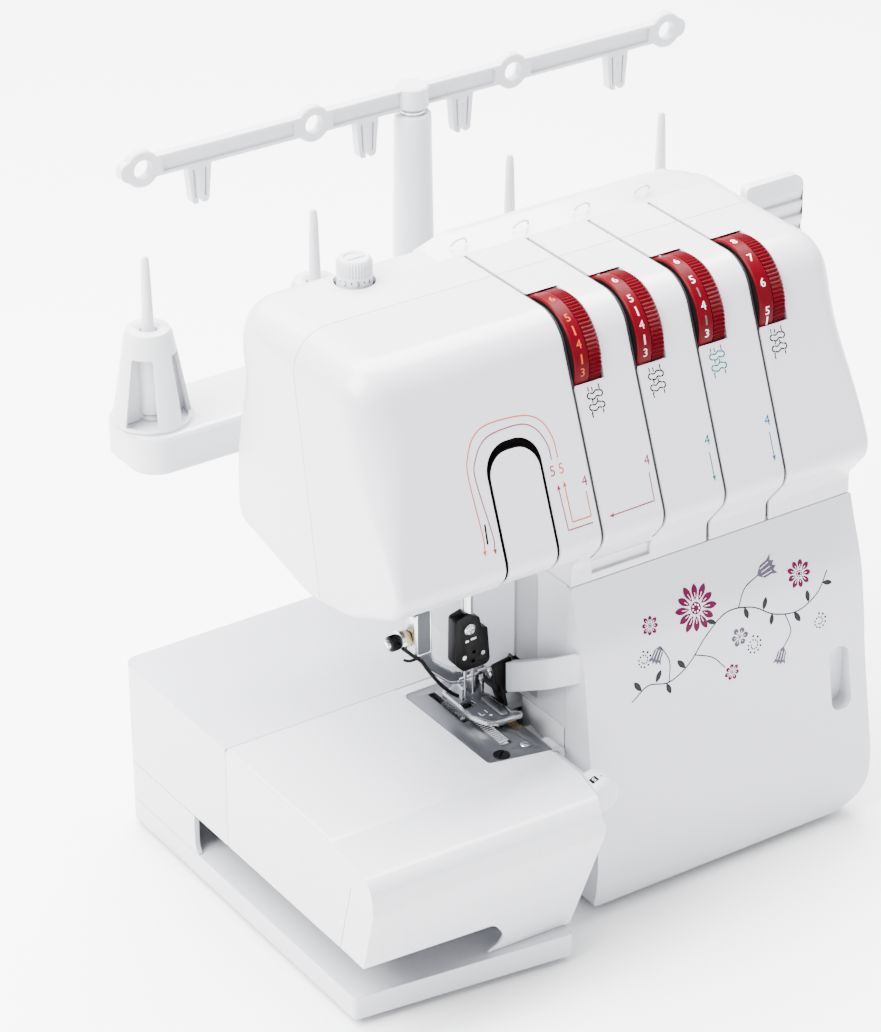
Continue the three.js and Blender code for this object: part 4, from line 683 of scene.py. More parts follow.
# ---------- Lower casing ----------
def rear_bed():
    """The lower casing in one moulding: bed, column walls and the shelf for the spools."""
    def bed(wall, low, high):
        front = BED_SEAM + GAP + wall
        right, back = BED_RIGHT + 6, BED_BACK - wall
        plan = [(wall, front), (right, front), (right, back), (wall, back, BED_CORNER - wall)]
        return prism("z", rounded(plan, 16), low, high)

    base = BASE_TOP + GAP
    low = HEAD_SEAM - GAP
    step = HEAD_BACK + GAP
    side = [
        (COLUMN_FRONT, base), (BED_BACK, base), (BED_BACK, SHELF, 4), (step, SHELF), (step, low),
        (COLUMN_FRONT, low),
    ]
    front = [
        (COLUMN_LEFT, 0), (COLUMN_RIGHT, 0, COLUMN_CORNER), (COLUMN_RIGHT, 330), (COLUMN_LEFT, 330)
    ]
    outer = prism("x", rounded(side), COLUMN_LEFT, COLUMN_RIGHT)
    column = meet(outer, prism("y", rounded(front, 16), 0, 300))
    back, top, open_front = BED_BACK - WALL, SHELF - WALL, COLUMN_FRONT - 5
    inside = [
        (open_front, 0), (back, 0), (back, top), (step + WALL, top), (step + WALL, low + 10),
        (open_front, low + 10),
    ]
    table_gap = [
        (BED_SEAM - 5, BASE_TOP - 1), (SLOT_BACK, BASE_TOP - 1, 7), (SLOT_BACK, SLOT_TOP),
        (BED_SEAM - 5, SLOT_TOP),
    ]
    left, right = COLUMN_LEFT, COLUMN_RIGHT
    holes = [(SHAFT, 8), (LENGTH_DIAL, DIAL_SHAFT), (RATIO_DIAL, DIAL_SHAFT)]
    return cut(
        join(bed(0, base, BED_TOP), column),
        bed(WALL, 0, BED_TOP - WALL),
        prism("x", rounded(inside), left + WALL, right - WALL),
        block(left - 10, left + 10, BED_SEAM + GAP + WALL, back, 0, BED_TOP - WALL),
        block(left - 1, left + 10, COLUMN_FRONT - 1, BED_SEAM + GAP, ARM_BOTTOM - 2, BED_TOP),
        prism("x", within(KNIFE_WINDOW, 0, 2), left - 1, left + 5),
        prism("x", within(RECESS, 0, 2), left - 1, left + RECESS_DEPTH),
        prism("x", rounded(table_gap), -5, 6),
        block(3, 100, BED_SEAM - 5, BED_SEAM + 6, BASE_TOP - 1, SLOT_TOP),
        block(-1, 0.45, SLOT_BACK, BED_BACK + 1, 33.2, 33.7),
        *(rod("x", at, radius, right - 5, right + 1) for at, radius in holes),
        prism("x", within(SWITCH, 0, 2), right - 5, right + 1),
        prism("x", within(INLET, 0, 3), right - 5, right + 1),
    )


def hinge_lug(x):
    y = HINGE[0]
    arm = [(y, 6), (50, 2), (50, BASE_TOP), (y, 14)]
    return join(rod("x", HINGE, 5.4, x, x + LUG_WIDTH), prism("x", arm, x, x + LUG_WIDTH))


def waste_chute():
    """The curved wall that leads trimmings out to the front, with the width dial's boss."""
    outline = [
        (39, 4), (44, 4), (45, 58, 20), (52, 66, 12), (62, 70, 20), (73.5, 73), (73.5, 76),
        (60, 73.5, 20), (48, 69.5, 12), (42.5, 61, 14),
    ]
    wall = prism("x", rounded(outline), CHUTE_LEFT, CHUTE_RIGHT)
    boss = rod("y", KNOB_CENTRE, 6, 41, 50)
    x, z = KNOB_CENTRE
    web = block(x - 3, x + 3, 44, 50, 62, z)
    return cut(join(wall, boss, web), rod("y", KNOB_CENTRE, 3.3, 30, 80))


def base_plate():
    plan = [
        (0, BASE_FRONT, 2.5), (113.4, -5, 2.5), (112, 30), (126, 37), (CHUTE_RIGHT, 38),
        (CHUTE_RIGHT, COLUMN_FRONT + GAP), (COLUMN_RIGHT, COLUMN_FRONT + GAP),
        (COLUMN_RIGHT, BED_BACK, 12), (0, BED_BACK, BED_CORNER),
    ]
    outline = rounded(plan, 12)
    pockets = prism("z", inset(outline, BASE_WALL), -1, BASE_TOP - BASE_WALL)
    walls = [block(x, x + BASE_WALL, -20, 230, -2, BASE_TOP) for x in (58, 128, 200, 262)]
    walls += [block(-5, 320, y, y + BASE_WALL, -2, BASE_TOP) for y in (60, 128, 180)]
    pads = [rod("z", at, FOOT_RADIUS + 2, 0, BASE_TOP) for at in FEET]
    lugs = [hinge_lug(x) for x in HINGE_LUGS]
    corner = [(-5, 0), (COLUMN_RIGHT, 0, COLUMN_CORNER), (COLUMN_RIGHT, 40), (-5, 40)]
    tray = meet(
        join(cut(prism("z", outline, 0, BASE_TOP), cut(pockets, *walls)), *pads, *lugs),
        prism("y", rounded(corner, 16), -30, 300),
    )
    tray = join(tray, waste_chute())
    return cut(tray, rod("x", HINGE, HINGE_RADIUS + GAP, 140, 320))


def build_lower():
    finish(rear_bed(), "rear_casing", COVER, node="rear_bed")
    finish(base_plate(), "base_tray", COVER, node="base_plate")
    # Painted shade: a grey sheet on the floor of the flank recess, standing in for the shade that
    # falls there.
    floor = COLUMN_LEFT + RECESS_DEPTH
    band = prism("x", within(RECESS, 0.1, 2), floor - 0.3, floor + 0.1)
    band = cut(band, prism("x", within(KNIFE_WINDOW, 0, 2), 140, 150))
    finish(band, "flank_shade_band", FLANK_SHADE)
    wall = block(COLUMN_LEFT - 0.6, COLUMN_LEFT + 0.3, 46.6, 81, 58.5, BED_TOP - 0.2)
    finish(softened(wall, 0.2), "chute_wall", COVER)


build_lower()


# ---------- Front cover ----------
def smooth_line(points):
    return [Vector(p[:2]) for p in smooth_path([(*p, 0) for p in points])]


COVER_LINE = smooth_line(COVER_FACE)


def guard_beam():
    """The ribbed beam that reaches from the cover's left edge to the presser foot."""
    end = COLUMN_LEFT + 1
    plan = [
        (130.6, 79, 1.5), (130.9, 66, 12), (133.4, 46, 12), (140.6, 35.5, 6), (end, 33.5),
        (end, COVER_BACK), (136.4, COVER_BACK - 0.4), (136.4, 79, 1.5),
    ]
    rise = prism("x", rounded([(80, 95, 3), (80, 111, 2.5), (34, 136, 2), (34, 119.5, 2)]), 120, 160)
    body = softened(meet(prism("z", rounded(plan), 85, 140), rise), 1.2, 3)
    grooves = []
    for step in range(6):
        y = 58 + 3.4 * step
        top = 111 + (80 - y) * (136 - 111) / (80 - 34)
        grooves.append(block(128, 142, y, y + 0.8, top - 0.6, top + 8))
    return cut(body, *grooves)


def front_cover():
    left, right = COLUMN_LEFT - 0.5, COLUMN_RIGHT
    back = [(41.6, 0), (44.6, 4), (COVER_BACK, HINGE[1]), (COVER_BACK, COVER_TOP)]
    outer_side = [*COVER_LINE, *(Vector(p) for p in back)]
    inner_side = [
        *inset(outer_side, WALL)[: len(COVER_LINE) - 1], (20.8 + WALL, -5), (COVER_BACK + 5, -5),
        (COVER_BACK + 5, COVER_TOP - WALL),
    ]
    corner = [
        (left, 0, 3), (left, COVER_TOP, 2), (right, COVER_TOP, 1.5), (right, 0, COLUMN_CORNER)
    ]
    inner_corner = [
        (left + WALL, -20), (left + WALL, COVER_TOP + 5), (right - WALL, COVER_TOP + 5),
        (right - WALL, WALL, COLUMN_CORNER - WALL), (right - 60, WALL), (right - 60, -20),
    ]
    outer = meet(
        prism("x", outer_side, left, right), prism("y", rounded(corner, 16), 0, 80)
    )
    inner = meet(
        prism("x", inner_side, left + WALL, right - WALL),
        prism("y", rounded(inner_corner, 16), 0, 80),
    )
    pocket = prism("y", within(GRIP, 0, GRIP_RADIUS), 10, GRIP_DEPTH)
    wall = prism("y", within(GRIP, -WALL, GRIP_RADIUS + WALL), 15, GRIP_DEPTH + WALL)
    wall = meet(wall, copy(outer))
    lug_room = block(left + WALL, 291.3, 20.8 + WALL, 60, -5, WALL + 1)
    shell = cut(join(cut(outer, inner), wall), pocket, lug_room)
    y, z = HINGE
    ears = []
    for x in EARS:
        ears.append(rod("x", HINGE, 5, x, x + LUG_WIDTH))
        ears.append(block(x, x + LUG_WIDTH, 20, y, z - 3, z + 3))
    shell = join(shell, guard_beam(), *ears)
    return cut(shell, rod("x", HINGE, HINGE_RADIUS + GAP, 170, 290))


finish(front_cover(), "cover_shell", COVER, "front_cover", "front_cover")


# ---------- Extension table ----------
def table_ring(x, wall):
    """A side view of the table at x; with a wall, of the room inside it, open below."""
    shift = TABLE_LEAN * x / TABLE_RIGHT + wall
    deep = 1 if wall else 0
    bottom = 0 if wall else BASE_TOP + GAP
    top, back = BED_TOP - wall, BED_SEAM + 5 * deep
    corners = [
        (back, bottom), (back, top), (30, top, 60), (-6.5 + shift, top - 5, 12),
        (-8 + shift, 67, 10), (6.5 + shift + 1.5 * deep, bottom),
    ]
    return [(x, *p) for p in rounded(corners, 12)]


def table_hole():
    """The room in the table for the needle plate."""
    left, right, front, back = PLATE
    left, right, front, back = left - GAP, right + GAP, front - GAP, back + GAP
    corners = [
        (left, front + PLATE_SKEW, 2.5), (PLATE[0] + 8, front + 5, 6), (right, front, 0.6),
        (right, NOTCH_FRONT + GAP), (NOTCH_LEFT + GAP, NOTCH_FRONT + GAP),
        (NOTCH_LEFT + GAP, back, 0.6), (left, back, 3.5),
    ]
    return prism("z", rounded(corners), 0, 100)


def extension_table():
    outer = skin([table_ring(0, 0), table_ring(TABLE_RIGHT, 0)])
    inner = skin([table_ring(WALL, WALL), table_ring(TABLE_RIGHT + 10, WALL)])

    def front_view(wall, high, left, right):
        corners = [
            (wall, 0), (114 - wall, 0), (TABLE_RIGHT - wall, high, right), (wall, high, left)
        ]
        return prism("y", rounded(corners), -30, 130)

    plan = prism("z", rounded([(0, -25, 12), (0, 130), (140, 130), (140, -25)], 12), -5, 100)
    outer = meet(outer, plan, front_view(0, BED_TOP, 2.5, 3))
    inner = meet(inner, front_view(WALL, BED_TOP + 10, 0, 0))
    slot = [
        (-5, BASE_TOP - 5), (72, BASE_TOP - 5), (70, BASE_TOP + 1, 3), (SLOT_TIP, 19, 7),
        (71, 31, 7), (-5, SLOT_TOP),
    ]
    groove = [(10.6, 72.9), (10.1, 72.9), (20.3, 33.6), (20.8, 33.6)]
    left, _, front, back = PLATE
    return cut(
        outer,
        inner,
        block(118, 140, front + 2, 130, -5, 100),
        block(left + 8, 140, front + 6, 130, -5, 100),
        block(left - GAP, 140, back + GAP, 130, -5, 100),
        table_hole(),
        prism("y", rounded(slot), -30, 30),
        block(-5, 5, 10, 130, 0, SLOT_TOP),
        rod("y", KNOB_CENTRE, WIDTH_RADIUS + CLEAR, -20, 45),
        prism("x", groove, -5, 0.5),
    )


finish(extension_table(), "table_shell", WHITE, "extension_table", "extension_table")


# ---------- Prints ----------
def front_of(outline):
    """The front of a body with this (y, z) side as a surface: u runs along x, v upwards."""
    def surface(u, v, w):
        hits = []
        for a, b in zip(outline, outline[1:] + outline[:1]):
            if min(a.y, b.y) <= v <= max(a.y, b.y) and a.y != b.y:
                hits.append(a.x + (b.x - a.x) * (v - a.y) / (b.y - a.y))
        return (u, min(hits) - w, v)

    return surface


on_panel = front_of(HEAD_OUTLINE)
on_cover = front_of(COVER_LINE)


def round_x(x, y, z, radius):
    """A surface round an axis along x: v runs upwards round the front."""
    def surface(u, v, w):
        angle = v / radius
        out = radius + w
        return (x + u, y - out * math.cos(angle), z + out * math.sin(angle))

    return surface


def shifted(surface, u0, v0):
    return lambda u, v, w: surface(u + u0, v + v0, w)


def decal(outline, surface, layer=1):
    points = dense([Vector(p) for p in outline], 1.0)
    return skin([[surface(p.x, p.y, w) for p in points] for w in (SUNK, LIFT * layer)])


def disc(u, v, radius, surface, layer=1, sides=20):
    return decal(circle(u, v, radius, sides), surface, layer)


def painted(path, width, surface, layer=1):
    """A painted line along a path of many points."""
    rings = []
    top = LIFT * layer
    for index, here in enumerate(path):
        ahead = (path[min(index + 1, len(path) - 1)] - path[max(index - 1, 0)]).normalized()
        side = Vector((-ahead.y, ahead.x)) * width / 2
        a, b = here + side, here - side
        rings.append([surface(*a, top), surface(*b, top), surface(*b, SUNK), surface(*a, SUNK)])
    return skin(rings)


def curved(points, width, surface):
    """A painted line that curves smoothly through (u, v) points."""
    return painted(smooth_line(points), width, surface)


def straight(points, width, surface, layer=1):
    """A painted line with straight sides between (u, v) points."""
    path = []
    for a, b in zip(points, points[1:]):
        a, b = Vector(a), Vector(b)
        parts = max(1, round((b - a).length))
        path += [a.lerp(b, part / parts) for part in range(parts)]
    path.append(Vector(points[-1]))
    return painted(path, width, surface, layer)


def arrow(tip, angle, surface, size=2.6):
    """A small arrow head; the angle runs clockwise from upwards."""
    return decal(turned_by([(0, 0), (0.38 * size, -size), (-0.38 * size, -size)], angle, tip), surface)


def figures(text, size, surface, pitch=0.6):
    """Plain figures on a surface, cut into strips so that they follow its curve."""
    curve = bpy.data.curves.new("figures", "FONT")
    curve.body = text
    curve.size = size
    curve.align_x = "CENTER"
    curve.align_y = "CENTER"
    curve.extrude = 0.5
    curve.resolution_u = 3
    holder = linked("figures", curve)
    graph = bpy.context.evaluated_depsgraph_get()
    mesh = bpy.data.meshes.new_from_object(holder.evaluated_get(graph))
    bpy.data.objects.remove(holder)
    bpy.data.curves.remove(curve)
    shape = bmesh.new()
    shape.from_mesh(mesh)
    heights = [v.co.y for v in shape.verts]
    level = min(heights) + pitch
    while level < max(heights):
        parts = [*shape.verts, *shape.edges, *shape.faces]
        bmesh.ops.bisect_plane(shape, geom=parts, plane_co=(0, level, 0), plane_no=(0, 1, 0))
        level += pitch
    for vert in shape.verts:
        u, v, w = vert.co
        vert.co = surface(u, v, LIFT if w > 0 else SUNK)
    shape.to_mesh(mesh)
    shape.free()
    return linked("figures", mesh)


# ---------- Tension dials ----------
def tension_dial(x):
    """A wheel with a smooth printed band on its left and a ridged grip on its right."""
    r, band, wide = DIAL_RADIUS, DIAL_BAND, DIAL_WIDTH
    profile = [
        (r - 7, 0, False), (r - 1.2, 0, False), (r - 0.5, 0.3, False), (r, 0.9, False),
        (r, band - 0.5, False), (r - 0.2, band - 0.2, False), (r - 0.7, band, False),
        (r - 0.7, band + 0.3, False), (r, band + 0.4, True), (r, wide - 1.5, True),
        (r - 0.8, wide - 0.4, True), (r - 1.8, wide, False), (r - 7, wide, False),
    ]
    return toothed("x", (x, *DIAL_AXIS), profile, DIAL_RIDGES, RIDGE_DEPTH)


def dial_figures(x, scale, dashes):
    pieces = []
    for mark, angle in scale:
        if (mark == "-") != dashes:
            continue
        along = math.radians(angle) * DIAL_RADIUS
        surface = shifted(round_x(x, *DIAL_AXIS, DIAL_RADIUS), 4.2, along)
        if dashes:
            pieces.append(decal(rectangle(-0.42, 0.42, -2.3, 2.3), surface))
        else:
            pieces.append(figures(mark, FIGURE_SIZE, surface))
    return merged(pieces)


def build_dials():
    inks = [
        (INK_ORANGE, INK_ORANGE), (INK_PINK, INK_PINK), (INK_WHITE, INK_SAGE), (INK_WHITE, INK_WHITE)
    ]
    for number, (x, looks) in enumerate(zip(DIAL_X, inks), 1):
        node = f"tension_dial_{number}"
        left = x + GAP
        scale = HIGH_SCALE if number == 4 else LOW_SCALE
        dial = cut(tension_dial(left), rod("x", DIAL_AXIS, DIAL_BORE, left - 1, left + 20))
        finish(dial, f"dial_wheel_{number}", RED, node, node, 30)
        # Painted shade: a near-black disc on the dial's left face, which lies in shade inside its
        # window.
        face = rod("x", DIAL_AXIS, DIAL_RADIUS - 0.8, left - 0.1, left + 0.2, 96)
        face = cut(face, rod("x", DIAL_AXIS, DIAL_BORE + 0.1, left - 1, left + 1))
        finish(face, f"dial_face_shade_{number}", DEEP, node)
        for part, look in zip(("figures", "dashes"), looks):
            prints = dial_figures(left, scale, part == "dashes")
            finish(prints, f"dial_{part}_{number}", look, node)


build_dials()

# ---------- Front panel prints ----------
ICON_X, ICON_Z = [161.8, 196.2, 231.3, 266.6], 254.5
FOUR_X, FOUR_Z = [147.2, 182.3, 216.9, 252.0], 222.8
ICON_THIN, ICON_THICK = 0.62, 0.68


def stitch_icon(x, z):
    """A plain chart of looped seam threads."""
    pieces = []
    at = shifted(on_panel, x, z)
    rows = (3.9, 1.4, -1.1, -3.6)
    for v in rows:
        row = [(-2.4, v), (-0.8, v - 0.5), (1, v + 0.5), (2.6, v)]
        pieces.append(curved(row, ICON_THIN, at))
    for high, low in (rows[:2], rows[2:]):
        middle, reach = (high + low) / 2, (high - low) / 2
        for side, start in ((-1, -2.7), (1, 2.9)):
            hook = []
            for step in range(9):
                angle = math.pi * (step / 8 - 0.5)
                hook.append((start + side * 1.4 * math.cos(angle), middle + reach * math.sin(angle)))
            pieces.append(curved(hook, ICON_THICK, at))
    for u, low, high in (
        (-3, 4.6, 6.6), (-0.9, 4.4, 6.2), (3, 4.2, 6.8), (-1.7, -0.6, 0.9), (0.9, -0.5, 1),
        (3, -6, -4.2),
    ):
        pieces.append(straight([(u, low), (u, high)], ICON_THIN, at))
    pieces.append(curved([(-2.6, -4.2), (-3.2, -5), (-3, -6.8)], ICON_THICK, at))
    return merged(pieces)


def build_panel_prints():
    def thread(*points):
        return straight(points, THREAD_WIDTH, on_panel)

    def figure(text, u, v):
        return figures(text, PANEL_FIGURE, shifted(on_panel, u, v))

    def four(index):
        return figure("4", FOUR_X[index], FOUR_Z)

    outer = [
        (88.6, 208), (89.1, 214), (88.0, 240), (90.2, 249), (95.2, 256), (104, 259), (122, 258),
        (130.8, 253.5), (135.2, 245), (135.8, 236),
    ]
    inner = [
        (93.6, 207.5), (94.2, 213), (91.4, 238), (93.4, 246), (99, 252.5), (107, 254.8),
        (120.5, 254.6), (127.6, 250.6), (131.8, 243), (132.3, 236),
    ]
    orange = [
        curved(outer, THREAD_WIDTH, on_panel),
        arrow((88.4, 205.2), math.pi, on_panel),
        figure("5", 136.4, 231),
        thread((136.4, 223), (136.6, 207.5), (147, 207.5), (147, 218.6)),
        arrow((136.4, 225.8), 0, on_panel),
    ]
    grey = [
        curved(inner, THREAD_WIDTH, on_panel),
        arrow((93.8, 204.6), math.pi, on_panel),
        figure("5", 131.6, 231),
        thread((133, 222.4), (133.6, 204.6), (147.3, 204.6)),
        arrow((133, 225.2), 0, on_panel),
        four(0),
    ]
    rose = [
        four(1),
        thread((182.2, 217.6), (182.0, 205), (159, 204.7)),
        arrow((156.4, 204.7), -math.pi / 2, on_panel),
    ]
    finish(merged(orange), "thread_path_orange", INK_ORANGE)
    # Painted shade: a dark stroke for the shaded inside of the thread slot beside the arch.
    finish(straight([(91.3, 218.6), (90.7, 210)], 0.95, on_panel), "thread_slot_shade", DEEP)
    finish(merged(grey), "thread_path_grey", INK_ROSE)
    finish(merged(rose), "thread_path_rose", INK_ROSE)
    for index, look, name in ((2, INK_TEAL, "teal"), (3, INK_BLUE, "blue")):
        x = FOUR_X[index]
        down = [four(index), thread((x, 217.6), (x, 207)), arrow((x, 204.4), math.pi, on_panel)]
        finish(merged(down), f"thread_path_{name}", look)
    for number, x in enumerate(ICON_X, 1):
        look = INK_TEAL if number == 3 else INK_GREY
        finish(stitch_icon(x, ICON_Z), f"stitch_chart_{number}", look)


build_panel_prints()


# ---------- Cover print: a vine with daisies, bells and berries ----------
def petal(length, width, blunt=0.8, steps=9):
    """A petal's outline from the origin along +v; a lower value is blunter at the tip."""
    right = []
    for step in range(1, steps):
        share = step / steps
        right.append((width / 2 * math.sin(math.pi * share ** (1 / blunt)) ** 0.75, share * length))
    left = [(-u, v) for u, v in reversed(right)]
    return [(0, 0), *right, (0, length), *left]


def daisy(centre, radius, count, tilt=0.0):
    """Petals round a ringed eye: (filled pieces, pale veins)."""
    at = shifted(on_cover, *centre)
    filled, veins = [], []
    for index in range(count):
        angle = tilt + 2 * math.pi * index / count
        reach = radius * (1.0 if index % 2 else 0.9)
        outline = [(u, v + 0.3 * radius) for u, v in petal(0.7 * reach, 3.41 * radius / count)]
        filled.append(decal(turned_by(outline, angle), at))
        vein = turned_by([(0, 0.42 * radius), (0, 0.66 * reach)], angle)
        veins.append(straight(vein, VEIN_WIDTH, at, 2))
    filled.append(disc(0, 0, 0.24 * radius, at))
    for index in range(7):
        seed = turned_by([(0, 0.15 * radius)], 2 * math.pi * index / 7)[0]
        veins.append(disc(seed.x, seed.y, 0.04 * radius, at, 2, 8))
    return filled, veins


def bell(centre, length, angle):
    """A hanging bell flower: (filled pieces, pale veins)."""
    at = shifted(on_cover, *centre)
    half = length * 0.42
    right = [(0.2, 0), (0.75, 0.28), (0.8, 0.66), (1.15, 1), (0.55, 0.86), (0.3, 1.05)]
    left = [(-u, v) for u, v in reversed(right)]
    body = [(u * half, v * length) for u, v in (left[-1], *right, (0, 0.88), *left[:-1])]
    filled = [decal(turned_by(body, math.radians(angle)), at)]
    veins = []
    for share in (-0.42, 0, 0.42):
        rib = [(share * half, 0.2 * length), (1.25 * share * half, 0.74 * length)]
        veins.append(straight(turned_by(rib, math.radians(angle)), VEIN_WIDTH, at, 2))
    return filled, veins


def berries(u, v, radius, count):
    """A plain curl of dots that shrink towards its middle."""
    dots = []
    for index in range(count):
        angle = 0.62 * index
        reach = radius * (1 - 0.75 * index / count)
        size = 0.62 * (1 - 0.4 * index / count)
        at = (u + reach * math.sin(angle), v + reach * math.cos(angle))
        dots.append(disc(*at, size, on_cover, 1, 10))
    return dots


VINE = [
    (168, 103), (178, 108.5), (190, 106.5), (202, 112), (213, 123), (226, 131), (241, 129),
    (254, 121.5), (268, 119), (280, 124.5), (287, 134),
]
TWIGS = [
    [(190, 106.5), (191, 117), (186.5, 126)],
    [(206, 115.5), (216, 111), (223, 103.5)],
    [(233, 131), (238, 139), (247, 143)],
    [(260, 120), (263, 110), (258, 102.5)],
]
LEAVES = [
    (174, 107, -35, 7), (182.5, 108.6, 30, 6.5), (188.5, 106.5, 160, 6.5), (200, 110.6, -40, 7),
    (219.5, 127.6, -62, 6), (236.5, 130.4, 165, 6.5), (247.5, 125.6, 20, 6.5), (252.5, 122.5, 190, 6),
    (265.5, 119.2, 150, 7), (274.5, 121.4, -5, 6.5), (283.5, 128.8, 105, 6),
]
BERRIES = [(176.5, 122, 4.4, 18), (240.5, 109.5, 4.8, 19), (280.5, 109.5, 4.2, 17)]


def build_cover_print():
    stems = [curved(VINE, 0.62, on_cover)]
    stems += [curved(twig, 0.55, on_cover) for twig in TWIGS]
    for u, v, angle, size in LEAVES:
        leaf = turned_by(petal(size, 0.42 * size, 0.9), math.radians(angle), (u, v))
        stems.append(decal(leaf, on_cover))
    for curl in BERRIES:
        stems += berries(*curl)
    plum, lilac, pale = [], [], []
    for target, (filled, veins) in (
        (plum, daisy((209, 138), 12.2, 12, 0.1)),
        (plum, daisy((270.5, 137), 7.4, 9, 0.3)),
        (plum, daisy((227, 99.8), 4.6, 7)),
        (plum, daisy((182, 137.5), 5.0, 8, 0.2)),
        (lilac, bell((186.5, 126), 8.6, -150)),
        (lilac, bell((247, 143), 10.5, 75)),
        (lilac, bell((258, 102.8), 8.4, 200)),
        (lilac, daisy((232.5, 116.5), 5.2, 6, 0.5)),
    ):
        target.extend(filled)
        pale += veins
    for name, pieces, look in (
        ("stems", stems, INK_SLATE), ("plum", plum, INK_PLUM), ("lilac", lilac, INK_LILAC),
        ("veins", pale, INK_WHITE),
    ):
        finish(merged(pieces), f"cover_print_{name}", look, "front_cover")


build_cover_print()


# ---------- Needles and presser foot ----------
def needle_clamp():
    outline = [
        (103.3, 119, 4), (107.6, 114.5, 3), (122.8, 114.7, 3), (121.2, 134.8, 1.5), (117.6, 136, 1),
        (116.6, 142, 3), (110.5, 145, 3), (103.6, 143.2, 2),
    ]
    body = prism("y", rounded(outline), CLAMP_FRONT, CLAMP_BACK)
    tools = [rod("z", (x, NEEDLE_Y), 1.3, 110, 120, 24) for x in NEEDLES]
    tools.append(rod("y", CLAMP_SCREW, 3.2, CLAMP_FRONT - 1, CLAMP_FRONT + 2.5))
    for holes, radius in ((CLAMP_PINS, 1.3), (CLAMP_HOLES, 0.9)):
        tools += [rod("y", at, radius, CLAMP_FRONT - 1, CLAMP_FRONT + 2.4, 24) for at in holes]
    return softened(cut(body, *tools), 0.5, 3)


def cross_screw(x, z, radius, front, back):
    profile = [(radius - 0.9, front), (radius, front + 0.7), (radius, back)]
    arm = 0.72 * radius
    return cut(
        turned("y", (x, 0, z), profile, 48),
        block(x - arm, x + arm, front - 1, front + 1.1, z - 0.55, z + 0.55),
        block(x - 0.55, x + 0.55, front - 1, front + 1.1, z - arm, z + arm),
    )


HOLDER_FACE = rounded([(85.4, 128.4, 1), (92.3, 128.4, 1), (92.3, 151), (85.4, 151)])
HOLDER_CHANNEL = rounded(
    [
        (PRESSER_X - 0.9, 128), (PRESSER_X + 3.4, 128), (94.8, 120.6, 9), (107, 109.4, 12),
        (116, 107.6), (116, 104.2), (105.4, 105.6, 9), (91.5, 118.4, 12),
    ],
    12,
)


def foot_holder():
    """The clamp on the presser bar with its curved arm down to the foot."""
    x = PRESSER_X
    arm = [
        (x - 2, 130), (x + 4.6, 130), (96, 121, 9), (108, 110.5, 12), (121.4, 108.5, 5),
        (121.4, 95.6, 3), (114.8, 95.6, 3), (114.8, 102, 2), (105, 104.5, 9), (90.5, 118, 12),
    ]
    clamp = prism("y", rectangle(x - 5, x + 4.6, 127, 150, 2), 84.5, 95.5)
    holder = cut(
        join(clamp, prism("y", rounded(arm, 12), 87, 92)),
        prism("y", HOLDER_CHANNEL, 86, 87.8),
        prism("y", HOLDER_FACE, 84, 85.4),
        rod("z", (x, PRESSER_Y), 3.8, 140.7, 151),
        rod("x", (PRESSER_Y, THUMB_Z), 2.3, 70, x - 2),
        rod("x", (PRESSER_Y, PIVOT_Z), 1.5, 100, 130),
    )
    return softened(holder, 0.35)


def sole(margin, low, high):
    outline = [
        (107.3, 74, 9), (112.5, 61.6, 9), (130.1, 61.6, 2), (130.1, 66, 1), (126.5, 66.6, 1),
        (126.5, 100, 3), (107.7, 100, 3),
    ]
    return prism("z", inset(rounded(outline, 10), margin), low, high)


def on_sole(u, v, w):
    return (u + 2.4, v + 4, SOLE_TOP - 0.5 + w)


def build_needles():
    front, group = CLAMP_FRONT, "needle_group"
    finish(needle_clamp(), "clamp_body", BLACK, group, "needle_clamp")
    screw = cross_screw(*CLAMP_SCREW, 3, front - 1, front + 2)
    finish(screw, "clamp_screw_head", STEEL, group, "clamp_screw")
    glints = [rod("y", pin, 1.1, front - 0.2, front + 2.6, 24) for pin in CLAMP_PINS]
    for bounds in ((108.6, 110.6, 129.8, 131), (111.6, 114.8, 130.4, 131.6)):
        glints.append(prism("y", rectangle(*bounds, 0.4), front - 0.15, front + 1))
    finish(merged(glints), "clamp_pins", STEEL, group)
    bar = turned("z", (NEEDLE_X, NEEDLE_Y, 0), [(2.2, 138), (2.9, 138.8), (2.9, 274.6), (1.9, 276)])
    finish(bar, "needle_bar_rod", STEEL, group, "needle_bar")
    profile = [
        (0.02, NEEDLE_TIP), (0.2, NEEDLE_TIP + 1.4), (0.45, NEEDLE_TIP + 4), (0.45, NEEDLE_TOP - 3),
        (1, NEEDLE_TOP - 1), (1, NEEDLE_TOP + 8),
    ]
    for name, x in zip(("left", "right"), NEEDLES):
        needle = turned("z", (x, NEEDLE_Y, 0), profile, 32)
        finish(needle, f"needle_shank_{name}", STEEL, group, f"needle_{name}")


